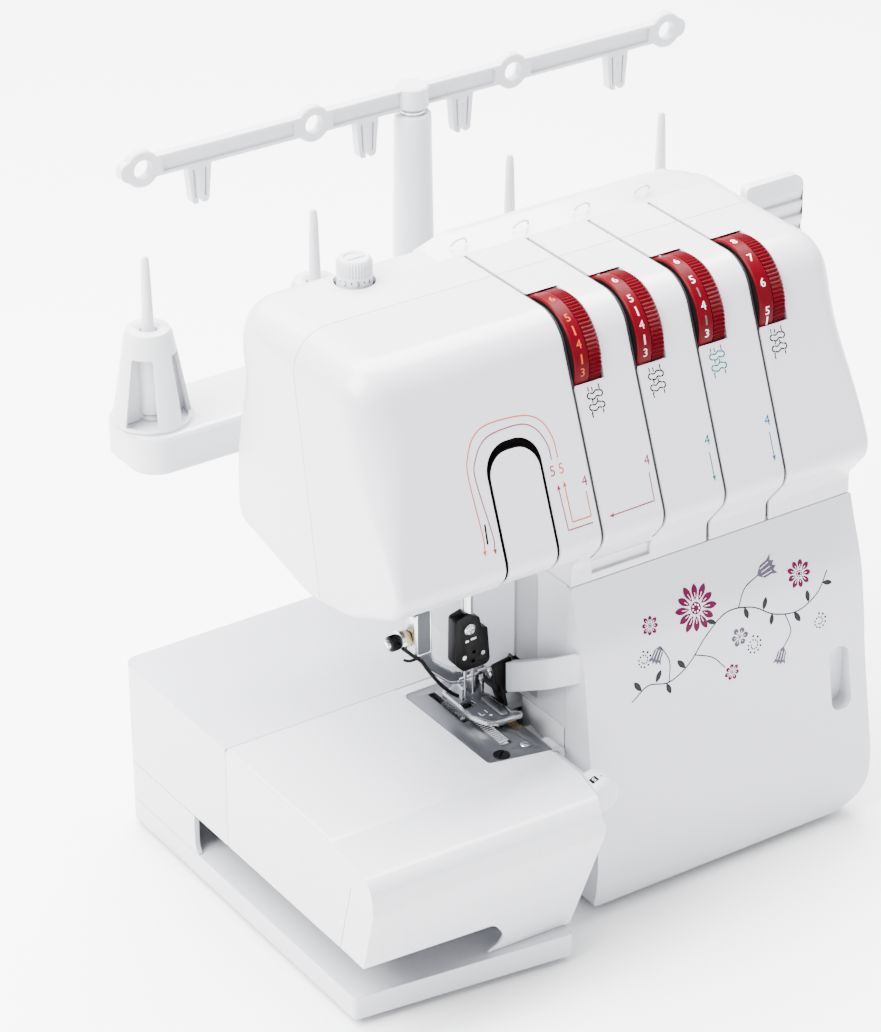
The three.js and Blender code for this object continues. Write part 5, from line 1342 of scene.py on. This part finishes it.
def build_presser():
    group = "presser_group"
    bar = turned("z", (PRESSER_X, PRESSER_Y, 0), [(3.5, 141), (3.5, 261), (2.5, 262)])
    finish(bar, "presser_bar_rod", STEEL, group, "presser_bar")
    finish(foot_holder(), "foot_holder", STEEL, group, "presser_foot_holder")
    # Painted shade: dark steel sheets set in the holder's channel and front face.
    faces = [
        prism("y", inset(HOLDER_CHANNEL, 0.1), 87.2, 87.9),
        prism("y", inset(HOLDER_FACE, 0.1), 84.8, 85.5),
    ]
    finish(merged(faces), "foot_holder_face", SHADED_STEEL, group)
    guard = softened(block(110, 126, 86.8, 88.6, 104.2, 106.4))
    finish(guard, "needle_guard_bar", STEEL, group)

    screw = (0, PRESSER_Y, THUMB_Z)
    grip = [
        (2.8, 72.6, False), (3.6, 73, False), (3.9, 73.4, True), (3.9, 77, True),
        (3.5, 77.4, False), (3.4, 79, False),
    ]
    grip = toothed("x", screw, grip, 28, 0.34125)
    finish(grip, "thumb_screw_grip", BLACK, group, "foot_thumb_screw", 25)
    cap = [(1.4, 70.8), (2.1, 71.1), (2.4, 71.8), (2.4, 73)]
    finish(turned("x", screw, cap, 48), "thumb_screw_cap", STEEL, group)
    collar = [(4.2, 77.2), (5.4, 77.6), (5.4, 79.6), (4.2, 80)]
    finish(turned("x", screw, collar, 48), "thumb_screw_collar", STEEL, group)
    nut = [(3.4, 79.9), (4.2, 80.3), (4.2, 83.2), (3.4, 83.6)]
    finish(turned("x", screw, nut, 6), "thumb_screw_nut", BRASS, group, angle=20)
    wire = [
        (76.6, 84, 135.6), (81.7, 83.4, 130.3), (86.7, 83.4, 125.3), (90, 83.6, 119.8),
        (97.6, 84.5, 108.7), (104, 85, 101.6), (108.1, 85, 98.1),
    ]
    finish(pipe(wire, 0.95, 10), "foot_spring_wire", BLACK, group)
    tab = [(84.2, 83.5, 127.6), (80, 83.5, 127.8), (77, 83.6, 129.3)]
    finish(pipe(tab, 0.7), "foot_spring_tab", BLACK, group)


def build_foot():
    low, high = SOLE, SOLE_TOP
    slot = (109.4, 116.6, 80.7, 86)
    rim = cut(
        sole(0, low, high),
        sole(1.5, high - 0.9, high + 1),
        prism("z", rectangle(*slot, 1.2), low - 1, high + 1),
    )
    side = rounded([(87, high - 1), (98, high - 1), (94, 100.8, 3), (87, 100.8, 2)])
    cheeks = [prism("x", side, x, x + 2) for x in (111.8, 122.4)]
    pin = rod("x", (PRESSER_Y, PIVOT_Z), 1.2, 112, 123.6, 24)
    rim = softened(join(rim, *cheeks, pin), 0.25)
    finish(rim, "foot_frame", STEEL, "presser_foot", "presser_foot")
    # Painted shade: the sole's plate in the dark, barely metallic grey.
    plate = cut(
        sole(1.6, high - 0.95, high - 0.5), prism("z", within(slot, -0.2, 1.2), low - 1, high + 1)
    )
    finish(plate, "foot_plate", SHADED_STEEL, "presser_foot")
    guide = prism("z", rectangle(119.6, 124.4, 65, 84, 2.4, 8), high - 0.9, high + 0.9)
    finish(softened(guide, 0.7, 4), "foot_guide", DARK_STEEL, "presser_foot")
    marks = []
    for points in (
        [(110.2, 70.4), (110.2, 67.6), (112, 67.6)],
        [(114, 71), (114, 68.4)],
        [(113.2, 65.6), (115, 65.6)],
        [(114.1, 66.5), (114.1, 64.7)],
    ):
        marks.append(straight(points, MARK_WIDTH, on_sole))
    finish(merged(marks), "foot_marks", INK_WHITE, "presser_foot")


# ---------- Needle plate, feed teeth and knives ----------
def needle_plate():
    left, right, front, back = PLATE
    outline = [
        (left, front + PLATE_SKEW, 3), (left + 8, front + 5, 7), (right, front, 0.5),
        (right, NOTCH_FRONT), (NOTCH_LEFT, NOTCH_FRONT, 0.5), (NOTCH_LEFT, back, 0.6),
        (left, back, 3.5),
    ]
    slots = []
    for x, width, row_front, row_back, _ in DOG_ROWS:
        slots.append(rectangle(x - 0.4, x + width + 0.4, row_front - 2.8, row_back + 2.8, 0.8))
    slots.append(rectangle(109.8, 116.6, 80.2, 86.6, 1.2))
    slots.append(rectangle(105.5, 109.4, 76.6, 107.2, 0.8))
    low, top = BED_TOP - PLATE_THICK, BED_TOP + 1
    tools = [prism("z", slot, low - 1, top) for slot in slots]
    for x, y, radius in PLATE_SCREWS.values():
        tools.append(rod("z", (x, y), radius + GAP, BED_TOP - 1.5, top))
    tools.append(block(121, 121.5, 43, 56.5, BED_TOP - 0.25, top))
    return softened(cut(prism("z", rounded(outline), low, BED_TOP), *tools), 0.3)


def plate_screw(x, y, radius, angle):
    profile = [(radius, -1.2), (radius, -0.1), (radius - 0.3, 0.2), (0.4, 0.25)]
    head = turned("z", (x, y, 0), [(r, BED_TOP + rise) for r, rise in profile], 48)
    slot = block(-radius - 1, radius + 1, -0.5, 0.5, BED_TOP - 0.5, BED_TOP + 1)
    return cut(head, moved(slot, (x, y, 0), math.radians(angle)))


def dog_row(x, width, front, back, teeth):
    """One toothed row of the feed dog on its rail."""
    pitch = (back - front) / teeth
    outline = [(front, 79.4), (back, 79.4)]
    for tooth in range(teeth, 0, -1):
        outline.append((front + tooth * pitch, BED_TOP - 0.8))
        outline.append((front + (tooth - 0.7) * pitch, BED_TOP + 0.5))
    outline.append((front, BED_TOP - 0.8))
    rail = block(x, x + width, min(front, 84), 92, 76.4, 80.4)
    return join(prism("x", outline, x, x + width), rail)


def bed_bridge():
    """The strip of bed top between the needle plate and the bed's seam."""
    left, right, _, back = PLATE
    outline = rectangle(left - GAP, right + GAP, back + GAP, BED_SEAM - GAP)
    return softened(prism("z", outline, BED_TOP - 2.4, BED_TOP), 0.2)


def moving_knife():
    blade = [(74.6, 91), (76, 88.9), (81, 88.9), (88, 98), (88, 103), (79.6, 103)]
    front = [(124.6, 111.4, 0.6), (135.4, 113.2, 0.8), (133.2, 93.4, 1), (127, 97, 1)]
    back = prism("x", rectangle(80, 92, 96, 104, 1.5), 127.2, 134.4)
    holder = join(back, prism("y", rounded(front), 79.6, 81.6))
    arm = prism("x", rectangle(84, 92, 95.5, 101.5, 1), 136, 155.7)
    return softened(join(prism("x", blade, 127.9, 129.7), holder, arm), 0.3)


def build_plate():
    finish(bed_bridge(), "bed_bridge", WHITE)
    finish(needle_plate(), "plate", BRUSHED, node="needle_plate")
    for (name, at), angle, look in zip(PLATE_SCREWS.items(), (34, -50), (BLACK, STEEL)):
        screw = plate_screw(*at, angle)
        node = f"needle_plate_screw_{name}"
        finish(screw, f"plate_screw_{name}", look, node=node)
    rows = [dog_row(*row) for row in DOG_ROWS]
    beam = block(DOG_ROWS[0][0], DOG_ROWS[-1][0] + DOG_ROWS[-1][1], 84, 92, 76.4, 80.4)
    finish(join(beam, *rows), "feed_teeth", STEEL, "feed_dog", "feed_dog", 20)
    knife = join(
        block(122.7, 127.3, 58.6, 79.6, 80.4, BED_TOP - 0.4),
        block(122.7, 127.3, 58.6, 64, 45.3, 81.4),
    )
    finish(softened(knife, 0.25), "fixed_knife", BRASS, node="lower_knife")
    finish(moving_knife(), "moving_knife", BLACK, "upper_knife", "upper_knife")
    bolt = moved(cross_screw(0, 0, 2.6, -1.2, 1), (126.6, 86, 104), math.radians(-90))
    finish(bolt, "moving_knife_bolt", STEEL, "upper_knife")


build_needles()
build_presser()
build_foot()
build_plate()


# ---------- Knobs ----------
def on_width_dial(u, v, w):
    """The top of the stitch width dial: u along its axis to the front, v round it."""
    angle = v / WIDTH_RADIUS
    out = WIDTH_RADIUS + w
    x, z = KNOB_CENTRE
    return (x + out * math.sin(angle), -u, z + out * math.cos(angle))


def read_from_left(u, v, w):
    """The same top for figures, turned by a quarter."""
    return on_width_dial(v - 4.9, -u, w)


def on_width_mark(u, v, w):
    """The grey mark on that top, one layer up."""
    return read_from_left(u + 3.2, v, w + LIFT)


def on_pressure_knob(u, v, w):
    angle = u / KNOB_RADIUS
    out = KNOB_RADIUS + w
    return (KNOB_X + out * math.sin(angle), KNOB_Y - out * math.cos(angle), v)


def build_pressure_knob():
    r, top = KNOB_RADIUS, KNOB_TOP
    profile = [
        (4, 262, False), (4, 285, False), (r - 0.6, 285.4, False), (r, 286, False),
        (r, 298.4, False), (r, 298.5, True), (r, top - 2, True), (r - 0.8, top - 0.6, True),
        (r - 1.6, top, False), (r - 3.4, top, False), (r - 3.8, top - 0.8, False),
        (0.01, top - 0.8, False),
    ]
    knob = toothed("z", (KNOB_X, KNOB_Y, 0), profile, 36, 0.5)
    reach = r - 1.6
    bar = block(KNOB_X - reach, KNOB_X + reach, KNOB_Y - 1.1, KNOB_Y + 1.1, top - 2, top)
    cap = join(knob, softened(bar, 0.3))
    finish(cap, "pressure_cap", SOFT, "pressure_knob", "pressure_knob", 25)
    marks = []
    for step in range(-4, 5):
        around = step * 3.1 - 3
        if step % 2:
            marks.append(disc(around, 296.2, 0.45, on_pressure_knob, 1, 10))
        else:
            at = shifted(on_pressure_knob, around, 295.6)
            marks.append(figures(str(3 + step // 2), 3.6, at))
    finish(merged(marks), "pressure_figures", INK_GREY, "pressure_knob")


def build_width_knob():
    x, z = KNOB_CENTRE
    r, dial = WIDTH_RADIUS, "stitch_width_dial"
    profile = [
        (0.01, -1, False), (r - 3.4, -1, False), (r - 1.6, -0.5, False), (r - 0.4, 0.8, False),
        (r, 2.2, False), (r, 7.4, False), (r, 7.5, True), (r, 12.4, True), (r - 0.5, 13, True),
        (3, 13, False), (3, 51, False),
    ]
    knob = toothed("y", (x, 0, z), profile, 24, 0.55)
    finish(knob, "width_knob", SOFT, dial, dial, 25)
    field = straight([(0, -1.9), (0, 0), (0, 1.9)], 3.8, shifted(on_width_dial, -4.9, -3.2))
    finish(field, "width_mark", INK_GREY, dial)
    finish(figures("5", 3.4, on_width_mark), "width_figure", INK_WHITE, dial)
    others = [
        figures("6", 2.6, shifted(read_from_left, -1, 0)),
        figures("4", 2.6, shifted(read_from_left, 7, 0)),
    ]
    finish(merged(others), "width_figures", INK_GREY, dial)


build_pressure_knob()
build_width_knob()


# ---------- Right flank ----------
def round_about(centre, reach, count):
    """Places round a centre at even angles."""
    places = []
    for index in range(count):
        angle = 2 * math.pi * index / count
        places.append((centre[0] + reach * math.cos(angle), centre[1] + reach * math.sin(angle)))
    return places


def handwheel():
    radius, low, high = WHEEL_RADIUS, WHEEL_LOW, WHEEL_HIGH
    profile = [
        (0.01, low), (radius - 5, low), (radius - 1.2, low + 0.8), (radius, low + 3),
        (radius, high - 5), (radius - 1, high - 2.2), (radius - 3, high - 1), (radius - 8, high),
        (radius - 10, high - 1), (radius - 12, high - 5), (12, high - 6), (10.5, high - 5),
        (9.4, high - 2.4), (8, high - 2), (0.01, high - 2),
    ]
    rim = turned("x", (0, *SHAFT), profile, 96)
    grips = [
        rod("x", at, 2.4, low + 4, high + 1, 24) for at in round_about(SHAFT, radius + 1.6, 24)
    ]
    return softened(cut(rim, *grips, rod("x", SHAFT, 5.3, low - 1, low + 12.3)), 0.3)


def side_dial(centre, radius, grips):
    y, z = centre
    profile = [
        (4, -19), (4, 0), (radius - 0.5, 0), (radius, 0.6), (radius, 6.4), (radius - 0.6, 8),
        (radius - 2, 9), (0.01, 9),
    ]
    knob = turned("x", (0, y, z), [(r, FLANK + out) for r, out in profile], 72)
    notches = [
        rod("x", at, 1.5, FLANK + 2, FLANK + 10, 20)
        for at in round_about(centre, radius + 0.8, grips)
    ]
    half = radius - 4
    bar = softened(block(FLANK + 8, FLANK + 11, y - 1.6, y + 1.6, z - half, z + half), 0.6)
    return join(softened(cut(knob, *notches), 0.3), bar)


def on_flank(u, v, w):
    return (COLUMN_RIGHT + w, u, v)


def dial_scale(centre, radius, numbers):
    """Tick marks and plain figures round a side dial."""
    pieces = []
    for index, number in enumerate(numbers):
        angle = math.radians(-60 + 120 * index / (len(numbers) - 1))
        tick = turned_by([(0, radius + 2), (0, radius + 4.4)], angle, centre)
        pieces.append(straight(tick, 0.5, on_flank))
        spot = turned_by([(0, radius + 7.6)], angle, centre)[0]
        pieces.append(figures(number, 4.6, shifted(on_flank, *spot)))
    return merged(pieces)


def lifter_lever():
    y, z, left, right, top, front, back = 136.5, 226, 310, 345, 291, 134, 139
    shaft = rod("x", (y, z), 5, 287, left + 1)
    profile = [
        (8.4, FLANK), (9, FLANK + 0.6), (9, left + 6.4), (8.2, left + 7), (0.01, left + 7)
    ]
    boss = turned("x", (0, y, z), profile)
    bar = block(left, left + 7, front + 1, back - 1, z, z + 30)
    pad = [(left, z + 22, 3), (right, z + 22, 7), (right, top, 7), (left, top, 2.5)]
    body = join(shaft, boss, bar, prism("y", rounded(pad, 12), front, back))
    grooves = []
    height = z + 27
    while height < top - 10:
        groove = [
            (front - 1, height), (front + 1.9, height + 0.3), (front + 0.2, height + 5.8),
            (front - 1, height + 6.4),
        ]
        grooves.append(prism("x", groove, left + 8.5, right + 1))
        height += 7.6
    return softened(cut(body, *grooves), 0.5, 3)


def build_flank():
    finish(handwheel(), "handwheel_rim", SOFT, "drive_shaft", "handwheel")
    for name, node, centre, radius, grips, numbers in (
        ("length", "stitch_length_dial", LENGTH_DIAL, 17, 18, "2345"),
        ("ratio", "feed_ratio_dial", RATIO_DIAL, 12, 14, "0123"),
    ):
        finish(side_dial(centre, radius, grips), f"{name}_knob", SOFT, node, node)
        finish(dial_scale(centre, radius, numbers), f"{name}_scale", INK_GREY)
    rocker = cut(
        prism("x", within(SWITCH, 0.6, 1.5), 303, 308.5), rod("y", (327.5, 43), 20, 140, 175, 96)
    )
    finish(softened(rocker, 0.4, 3), "switch_rocker", BLACK, "power_switch", "power_switch")
    ring = cut(
        prism("x", within(SWITCH, -2.4, 2.5), COLUMN_RIGHT, COLUMN_RIGHT + 1),
        prism("x", rectangle(*SWITCH, 1.8), COLUMN_RIGHT - 1, COLUMN_RIGHT + 2),
    )
    finish(softened(ring, 0.3), "switch_frame", BLACK)
    body = prism("x", within(INLET, 0.3, 2.5), 290, COLUMN_RIGHT + 1)
    flange = softened(prism("x", within(INLET, -3, 3), FLANK, COLUMN_RIGHT + 2.3), 0.5)
    well = prism("x", rectangle(*INLET_WELL, 3.5), 296, COLUMN_RIGHT + 4)
    finish(cut(join(body, flange), well), "inlet_body", BLACK, node="power_inlet")
    pins = [
        turned("x", (0, y, 43), [(1.2, 295), (1.2, 305), (0.6, 306)], 24) for y in (185, 191, 197)
    ]
    finish(merged(pins), "inlet_pins", STEEL)
    lever = lifter_lever()
    finish(lever, "lifter_pad", SOFT, "foot_lifter_lever", "foot_lifter_lever")


build_flank()


# ---------- Spool stand, pins and thread tree ----------
def spool_stand():
    low, top = SHELF + GAP, STAND_TOP
    bounds = (STAND_X - STAND_HALF, STAND_X + STAND_HALF, STAND_FRONT, STAND_BACK)
    rings = []
    for margin, z in (
        (0.6, low), (0, low + 0.8), (0, top - 3.2), (0.35, top - 1.6), (1.2, top - 0.5), (2.6, top)
    ):
        rings.append([(*p, z) for p in within(bounds, margin, STAND_RADIUS - margin, 12)])
    inside = prism("z", within(bounds, 2.4, STAND_RADIUS - 2.4, 12), low - 1, top - 2.6)
    ribs = []
    for at in (-110, 0, 110):
        x = STAND_X + at
        ribs.append(block(x - 1.2, x + 1.2, STAND_FRONT + 1, STAND_BACK - 1, low + 3, top - 1))
    rims = []
    for offset in PIN_OFFSETS:
        at = (STAND_X + offset, PIN_Y)
        outer = rod("z", at, 20.4, top - 0.35, top + 2, 72)
        rims.append(cut(outer, rod("z", at, 19.7, top - 2, top + 3, 72)))
    return cut(join(cut(skin(rings), inside), *ribs), *rims)


def cone_holder(x):
    """A slotted cone on a sleeve that slides over its spool pin."""
    low = STAND_FACE
    high = low + CONE_HEIGHT
    axis = (x, PIN_Y)
    at = (*axis, 0)

    def shell(wall, foot):
        tip = CONE_TIP - wall
        profile = [
            (CONE_BASE - wall, foot), (CONE_BASE - wall, low + 2), (tip + 0.6, high - 3 - wall),
            (tip - 0.6, high - 0.6 - wall), (tip - 2, high - wall),
        ]
        return turned("z", at, profile, 72)

    corners = [(-8, low + 1.2, 1), (8, low + 1.2, 1), (5, high - 12, 1.2), (-5, high - 12, 1.2)]
    windows = [
        moved(prism("y", rounded(corners), 3, 30), at, math.pi / 4 + math.pi / 2 * quarter)
        for quarter in range(4)
    ]
    body = cut(shell(0, low), shell(1.8, low - 1), *windows)
    sleeve = rod("z", axis, 6.4, low + 4, high - 0.5, 40)
    half = CONE_BASE - 1.4
    rib = [(-half, low), (half, low), (CONE_TIP - 1, high - 3), (1 - CONE_TIP, high - 3)]
    ribs = [moved(prism("y", rib, -0.6, 0.6), at, turn) for turn in (0, math.pi / 2)]
    profile = [(6, low - 1), (6, low + 3), (4.3, low + 5), (4.3, high - 1.6), (6.6, high + 0.5)]
    return softened(cut(join(body, sleeve, *ribs), turned("z", at, profile, 40)), 0.25)


def tree_hooks(front, back, low):
    """The thread hooks under the bar, and what is cut from them."""
    legs, slots = [], []
    root, tip = low - 1.5, TREE_Z - 21
    for offset in HOOKS:
        x = STAND_X + offset
        leg = [(x - 6.4, low + 1), (x - 4.4, tip - 3, 2), (x + 4.4, tip - 3, 2), (x + 6.4, low + 1)]
        legs.append(prism("y", rounded(leg), front, back))
        fork = [
            (x - 1.2, tip - 5), (x + 1.2, tip - 5), (x + 1.5, low - 4, 1.2), (x - 1.5, low - 4, 1.2)
        ]
        slots.append(prism("y", rounded(fork), front - 1, back + 1))
        for groove in (
            [(x - 3.8, root, 1), (x - 2.9, tip, 0.6), (x - 2.3, tip, 0.6), (x - 2.6, root, 0.6)],
            [(x + 2.6, root, 0.6), (x + 2.3, tip, 0.6), (x + 2.9, tip, 0.6), (x + 3.8, root, 1)],
        ):
            slots.append(prism("y", rounded(groove), front - 1, front + 1.2))
    return legs, slots


def thread_tree():
    front, back = PIN_Y - TREE_THICK / 2, PIN_Y + TREE_THICK / 2
    low, high = TREE_Z - TREE_HALF, TREE_Z + TREE_HALF
    bar = rectangle(STAND_X - TREE_LENGTH, STAND_X + TREE_LENGTH, low, high, 4.8, 12)
    profile = [(EYE_RING - 0.7, front), (EYE_RING, front + 0.7), (EYE_RING, back - 0.7),
               (EYE_RING - 0.7, back)]
    rings, eyes = [], []
    for offset in PIN_OFFSETS:
        x = STAND_X + offset
        rings.append(turned("y", (x, 0, TREE_Z), profile, 56))
        eyes.append(rod("y", (x, TREE_Z), EYE, front - 2, back + 2, 40))
    channels = []
    for a, b in zip(PIN_OFFSETS, PIN_OFFSETS[1:]):
        outline = rectangle(STAND_X + a + 10.5, STAND_X + b - 10.5, low + 1.3, high - 1.3, 1.2)
        channels.append(prism("y", outline, front - 1, front + 1.5))
        channels.append(prism("y", outline, back - 1.5, back + 1))
    hooks, slots = tree_hooks(front, back, low)
    body = softened(cut(join(prism("y", bar, front, back), *hooks), *channels, *slots), 0.35)
    at = (STAND_X, PIN_Y)
    hub = turned("z", (*at, 0), [(7.2, low), (8, low + 0.8), (8, high + 0.2), (7.2, high + 1)])
    bore = rod("z", at, TUBE + GAP, low - 1, TREE_Z + 1.3)
    return cut(join(body, *rings, hub), *eyes, bore)


def build_stand():
    finish(spool_stand(), "stand_tray", WHITE, node="spool_stand")
    low = STAND_FACE
    profile = [
        (5.2, low), (5.5, low + 0.3), (5.5, low + 1.2), (4.2, low + 3), (3.9, low + 6),
        (3.3, low + 44), (2.9, low + 50), (2.2, PIN_TOP - 8), (1.8, PIN_TOP - 1.6),
        (1.1, PIN_TOP - 0.4), (0.3, PIN_TOP),
    ]
    for number, offset in enumerate(PIN_OFFSETS, 1):
        x = STAND_X + offset
        pin = turned("z", (x, PIN_Y, 0), profile, 48)
        finish(pin, f"pin_{number}", SOFT, node=f"spool_pin_{number}")
        node = f"cone_holder_{number}"
        finish(cone_holder(x), f"cone_{number}", SOFT, node, node)
    middle = (STAND_X, PIN_Y)
    profile = [
        (POST_BASE + 3, low), (POST_BASE + 3, low + 1.6), (POST_BASE + 2.6, low + 2.2),
        (POST_BASE + 0.6, low + 3.4), (POST_BASE, low + 6), (POST_TIP + 0.2, POST_TOP - 3),
        (POST_TIP, POST_TOP - 0.8), (POST_TIP - 0.8, POST_TOP),
    ]
    post = turned("z", (*middle, 0), profile, 72)
    post = cut(post, rod("z", middle, TUBE + GAP, TUBE_LOW - GAP, POST_TOP + 1))
    finish(post, "post_tube", WHITE, node="outer_post")
    collar = POST_TOP + GAP
    profile = [
        (TUBE, TUBE_LOW), (TUBE, collar), (6.2, collar), (6.5, collar + 0.3),
        (6.5, collar + 1.3), (6.2, collar + 1.6), (TUBE, collar + 2.2), (TUBE, TREE_Z + 1),
    ]
    tube = turned("z", (*middle, 0), profile)
    finish(tube, "slide_tube", STEEL, "inner_tube", "inner_tube")
    finish(thread_tree(), "tree_bar", SOFT, "thread_tree", "thread_tree")


build_stand()

# ---------- Feet and carried pieces ----------
PAD = [(6.6, -4), (7.6, -3.8), (8.1, -3.2), (FOOT_RADIUS, -0.8), (FOOT_RADIUS, -GAP)]
for foot, at in zip(FOOT_NAMES, FEET):
    pad = turned("z", (*at, 0), PAD, 48)
    finish(pad, f"pad_{foot}", RUBBER, node=f"foot_{foot}")

dress(CAST, "main_frame")
dress(DARK_STEEL, "motor", "motor_pulley")
dress(RUBBER, "drive_belt")
dress(STEEL, "upper_looper", "lower_looper", "main_shaft", "dial_axle", "cover_hinge_rod")
dress(BRASS, "take_up_lever")


# ---------- Camera, floor and light ----------
def build_camera():
    camera = bpy.data.cameras.new("camera")
    camera.lens = CAMERA_LENS
    camera.sensor_width = 36.0
    camera.sensor_fit = "AUTO"
    camera.clip_end = 20
    holder = linked("camera", camera)
    azimuth, elevation = math.radians(CAMERA_AZIMUTH), math.radians(CAMERA_ELEVATION)
    level = math.cos(elevation)
    ahead = Vector((math.sin(azimuth) * level, math.cos(azimuth) * level, -math.sin(elevation)))
    right = Vector((math.cos(azimuth), -math.sin(azimuth), 0))
    up = right.cross(ahead)
    turn = Matrix((right, up, -ahead)).transposed().to_4x4()
    roll = Matrix.Rotation(math.radians(CAMERA_ROLL), 4, "Z")
    holder.matrix_world = Matrix.Translation(ORIGIN + Vector(CAMERA_AT) * MM) @ turn @ roll
    bpy.context.scene.camera = holder


def build_floor():
    floor = bpy.data.meshes.new("floor")
    corners = ((-1, -1), (1, -1), (1, 1), (-1, 1))
    floor.from_pydata([(FLOOR_REACH * x, FLOOR_REACH * y, 0) for x, y in corners], [], [(0, 1, 2, 3)])
    ground = linked("floor", floor)
    look = material("pale_floor", (0.95, 0.95, 0.955), 0.6, grain=40, bump=0.01, vary=0.004)
    floor.materials.append(look)


def soft_box(name, at, aim, size, power):
    light = bpy.data.lights.new(name, "AREA")
    light.shape = "RECTANGLE"
    light.size, light.size_y = size
    light.energy = power
    lamp = linked(name, light)
    lamp.rotation_euler = (Vector(aim) - Vector(at)).to_track_quat("-Z", "Y").to_euler()
    lamp.location = at


def build_light():
    world = bpy.data.worlds.new("studio")
    world.use_nodes = True
    background = world.node_tree.nodes["Background"]
    set_values(background, {"Color": (0.96, 0.975, 1.0, 1), "Strength": 1.3})
    bpy.context.scene.world = world
    soft_box("key", (-1.3, 0.1, 1.5), (0, 0, 0.15), (1.2, 1.2), 130)
    soft_box("top", (0.2, 0.7, 2.0), (0, 0, 0.1), (2.2, 1.6), 320)
    soft_box("fill", (1.4, -1.6, 0.9), (0, 0, 0.15), (1.4, 1.2), 8)


build_camera()
build_floor()
build_light()
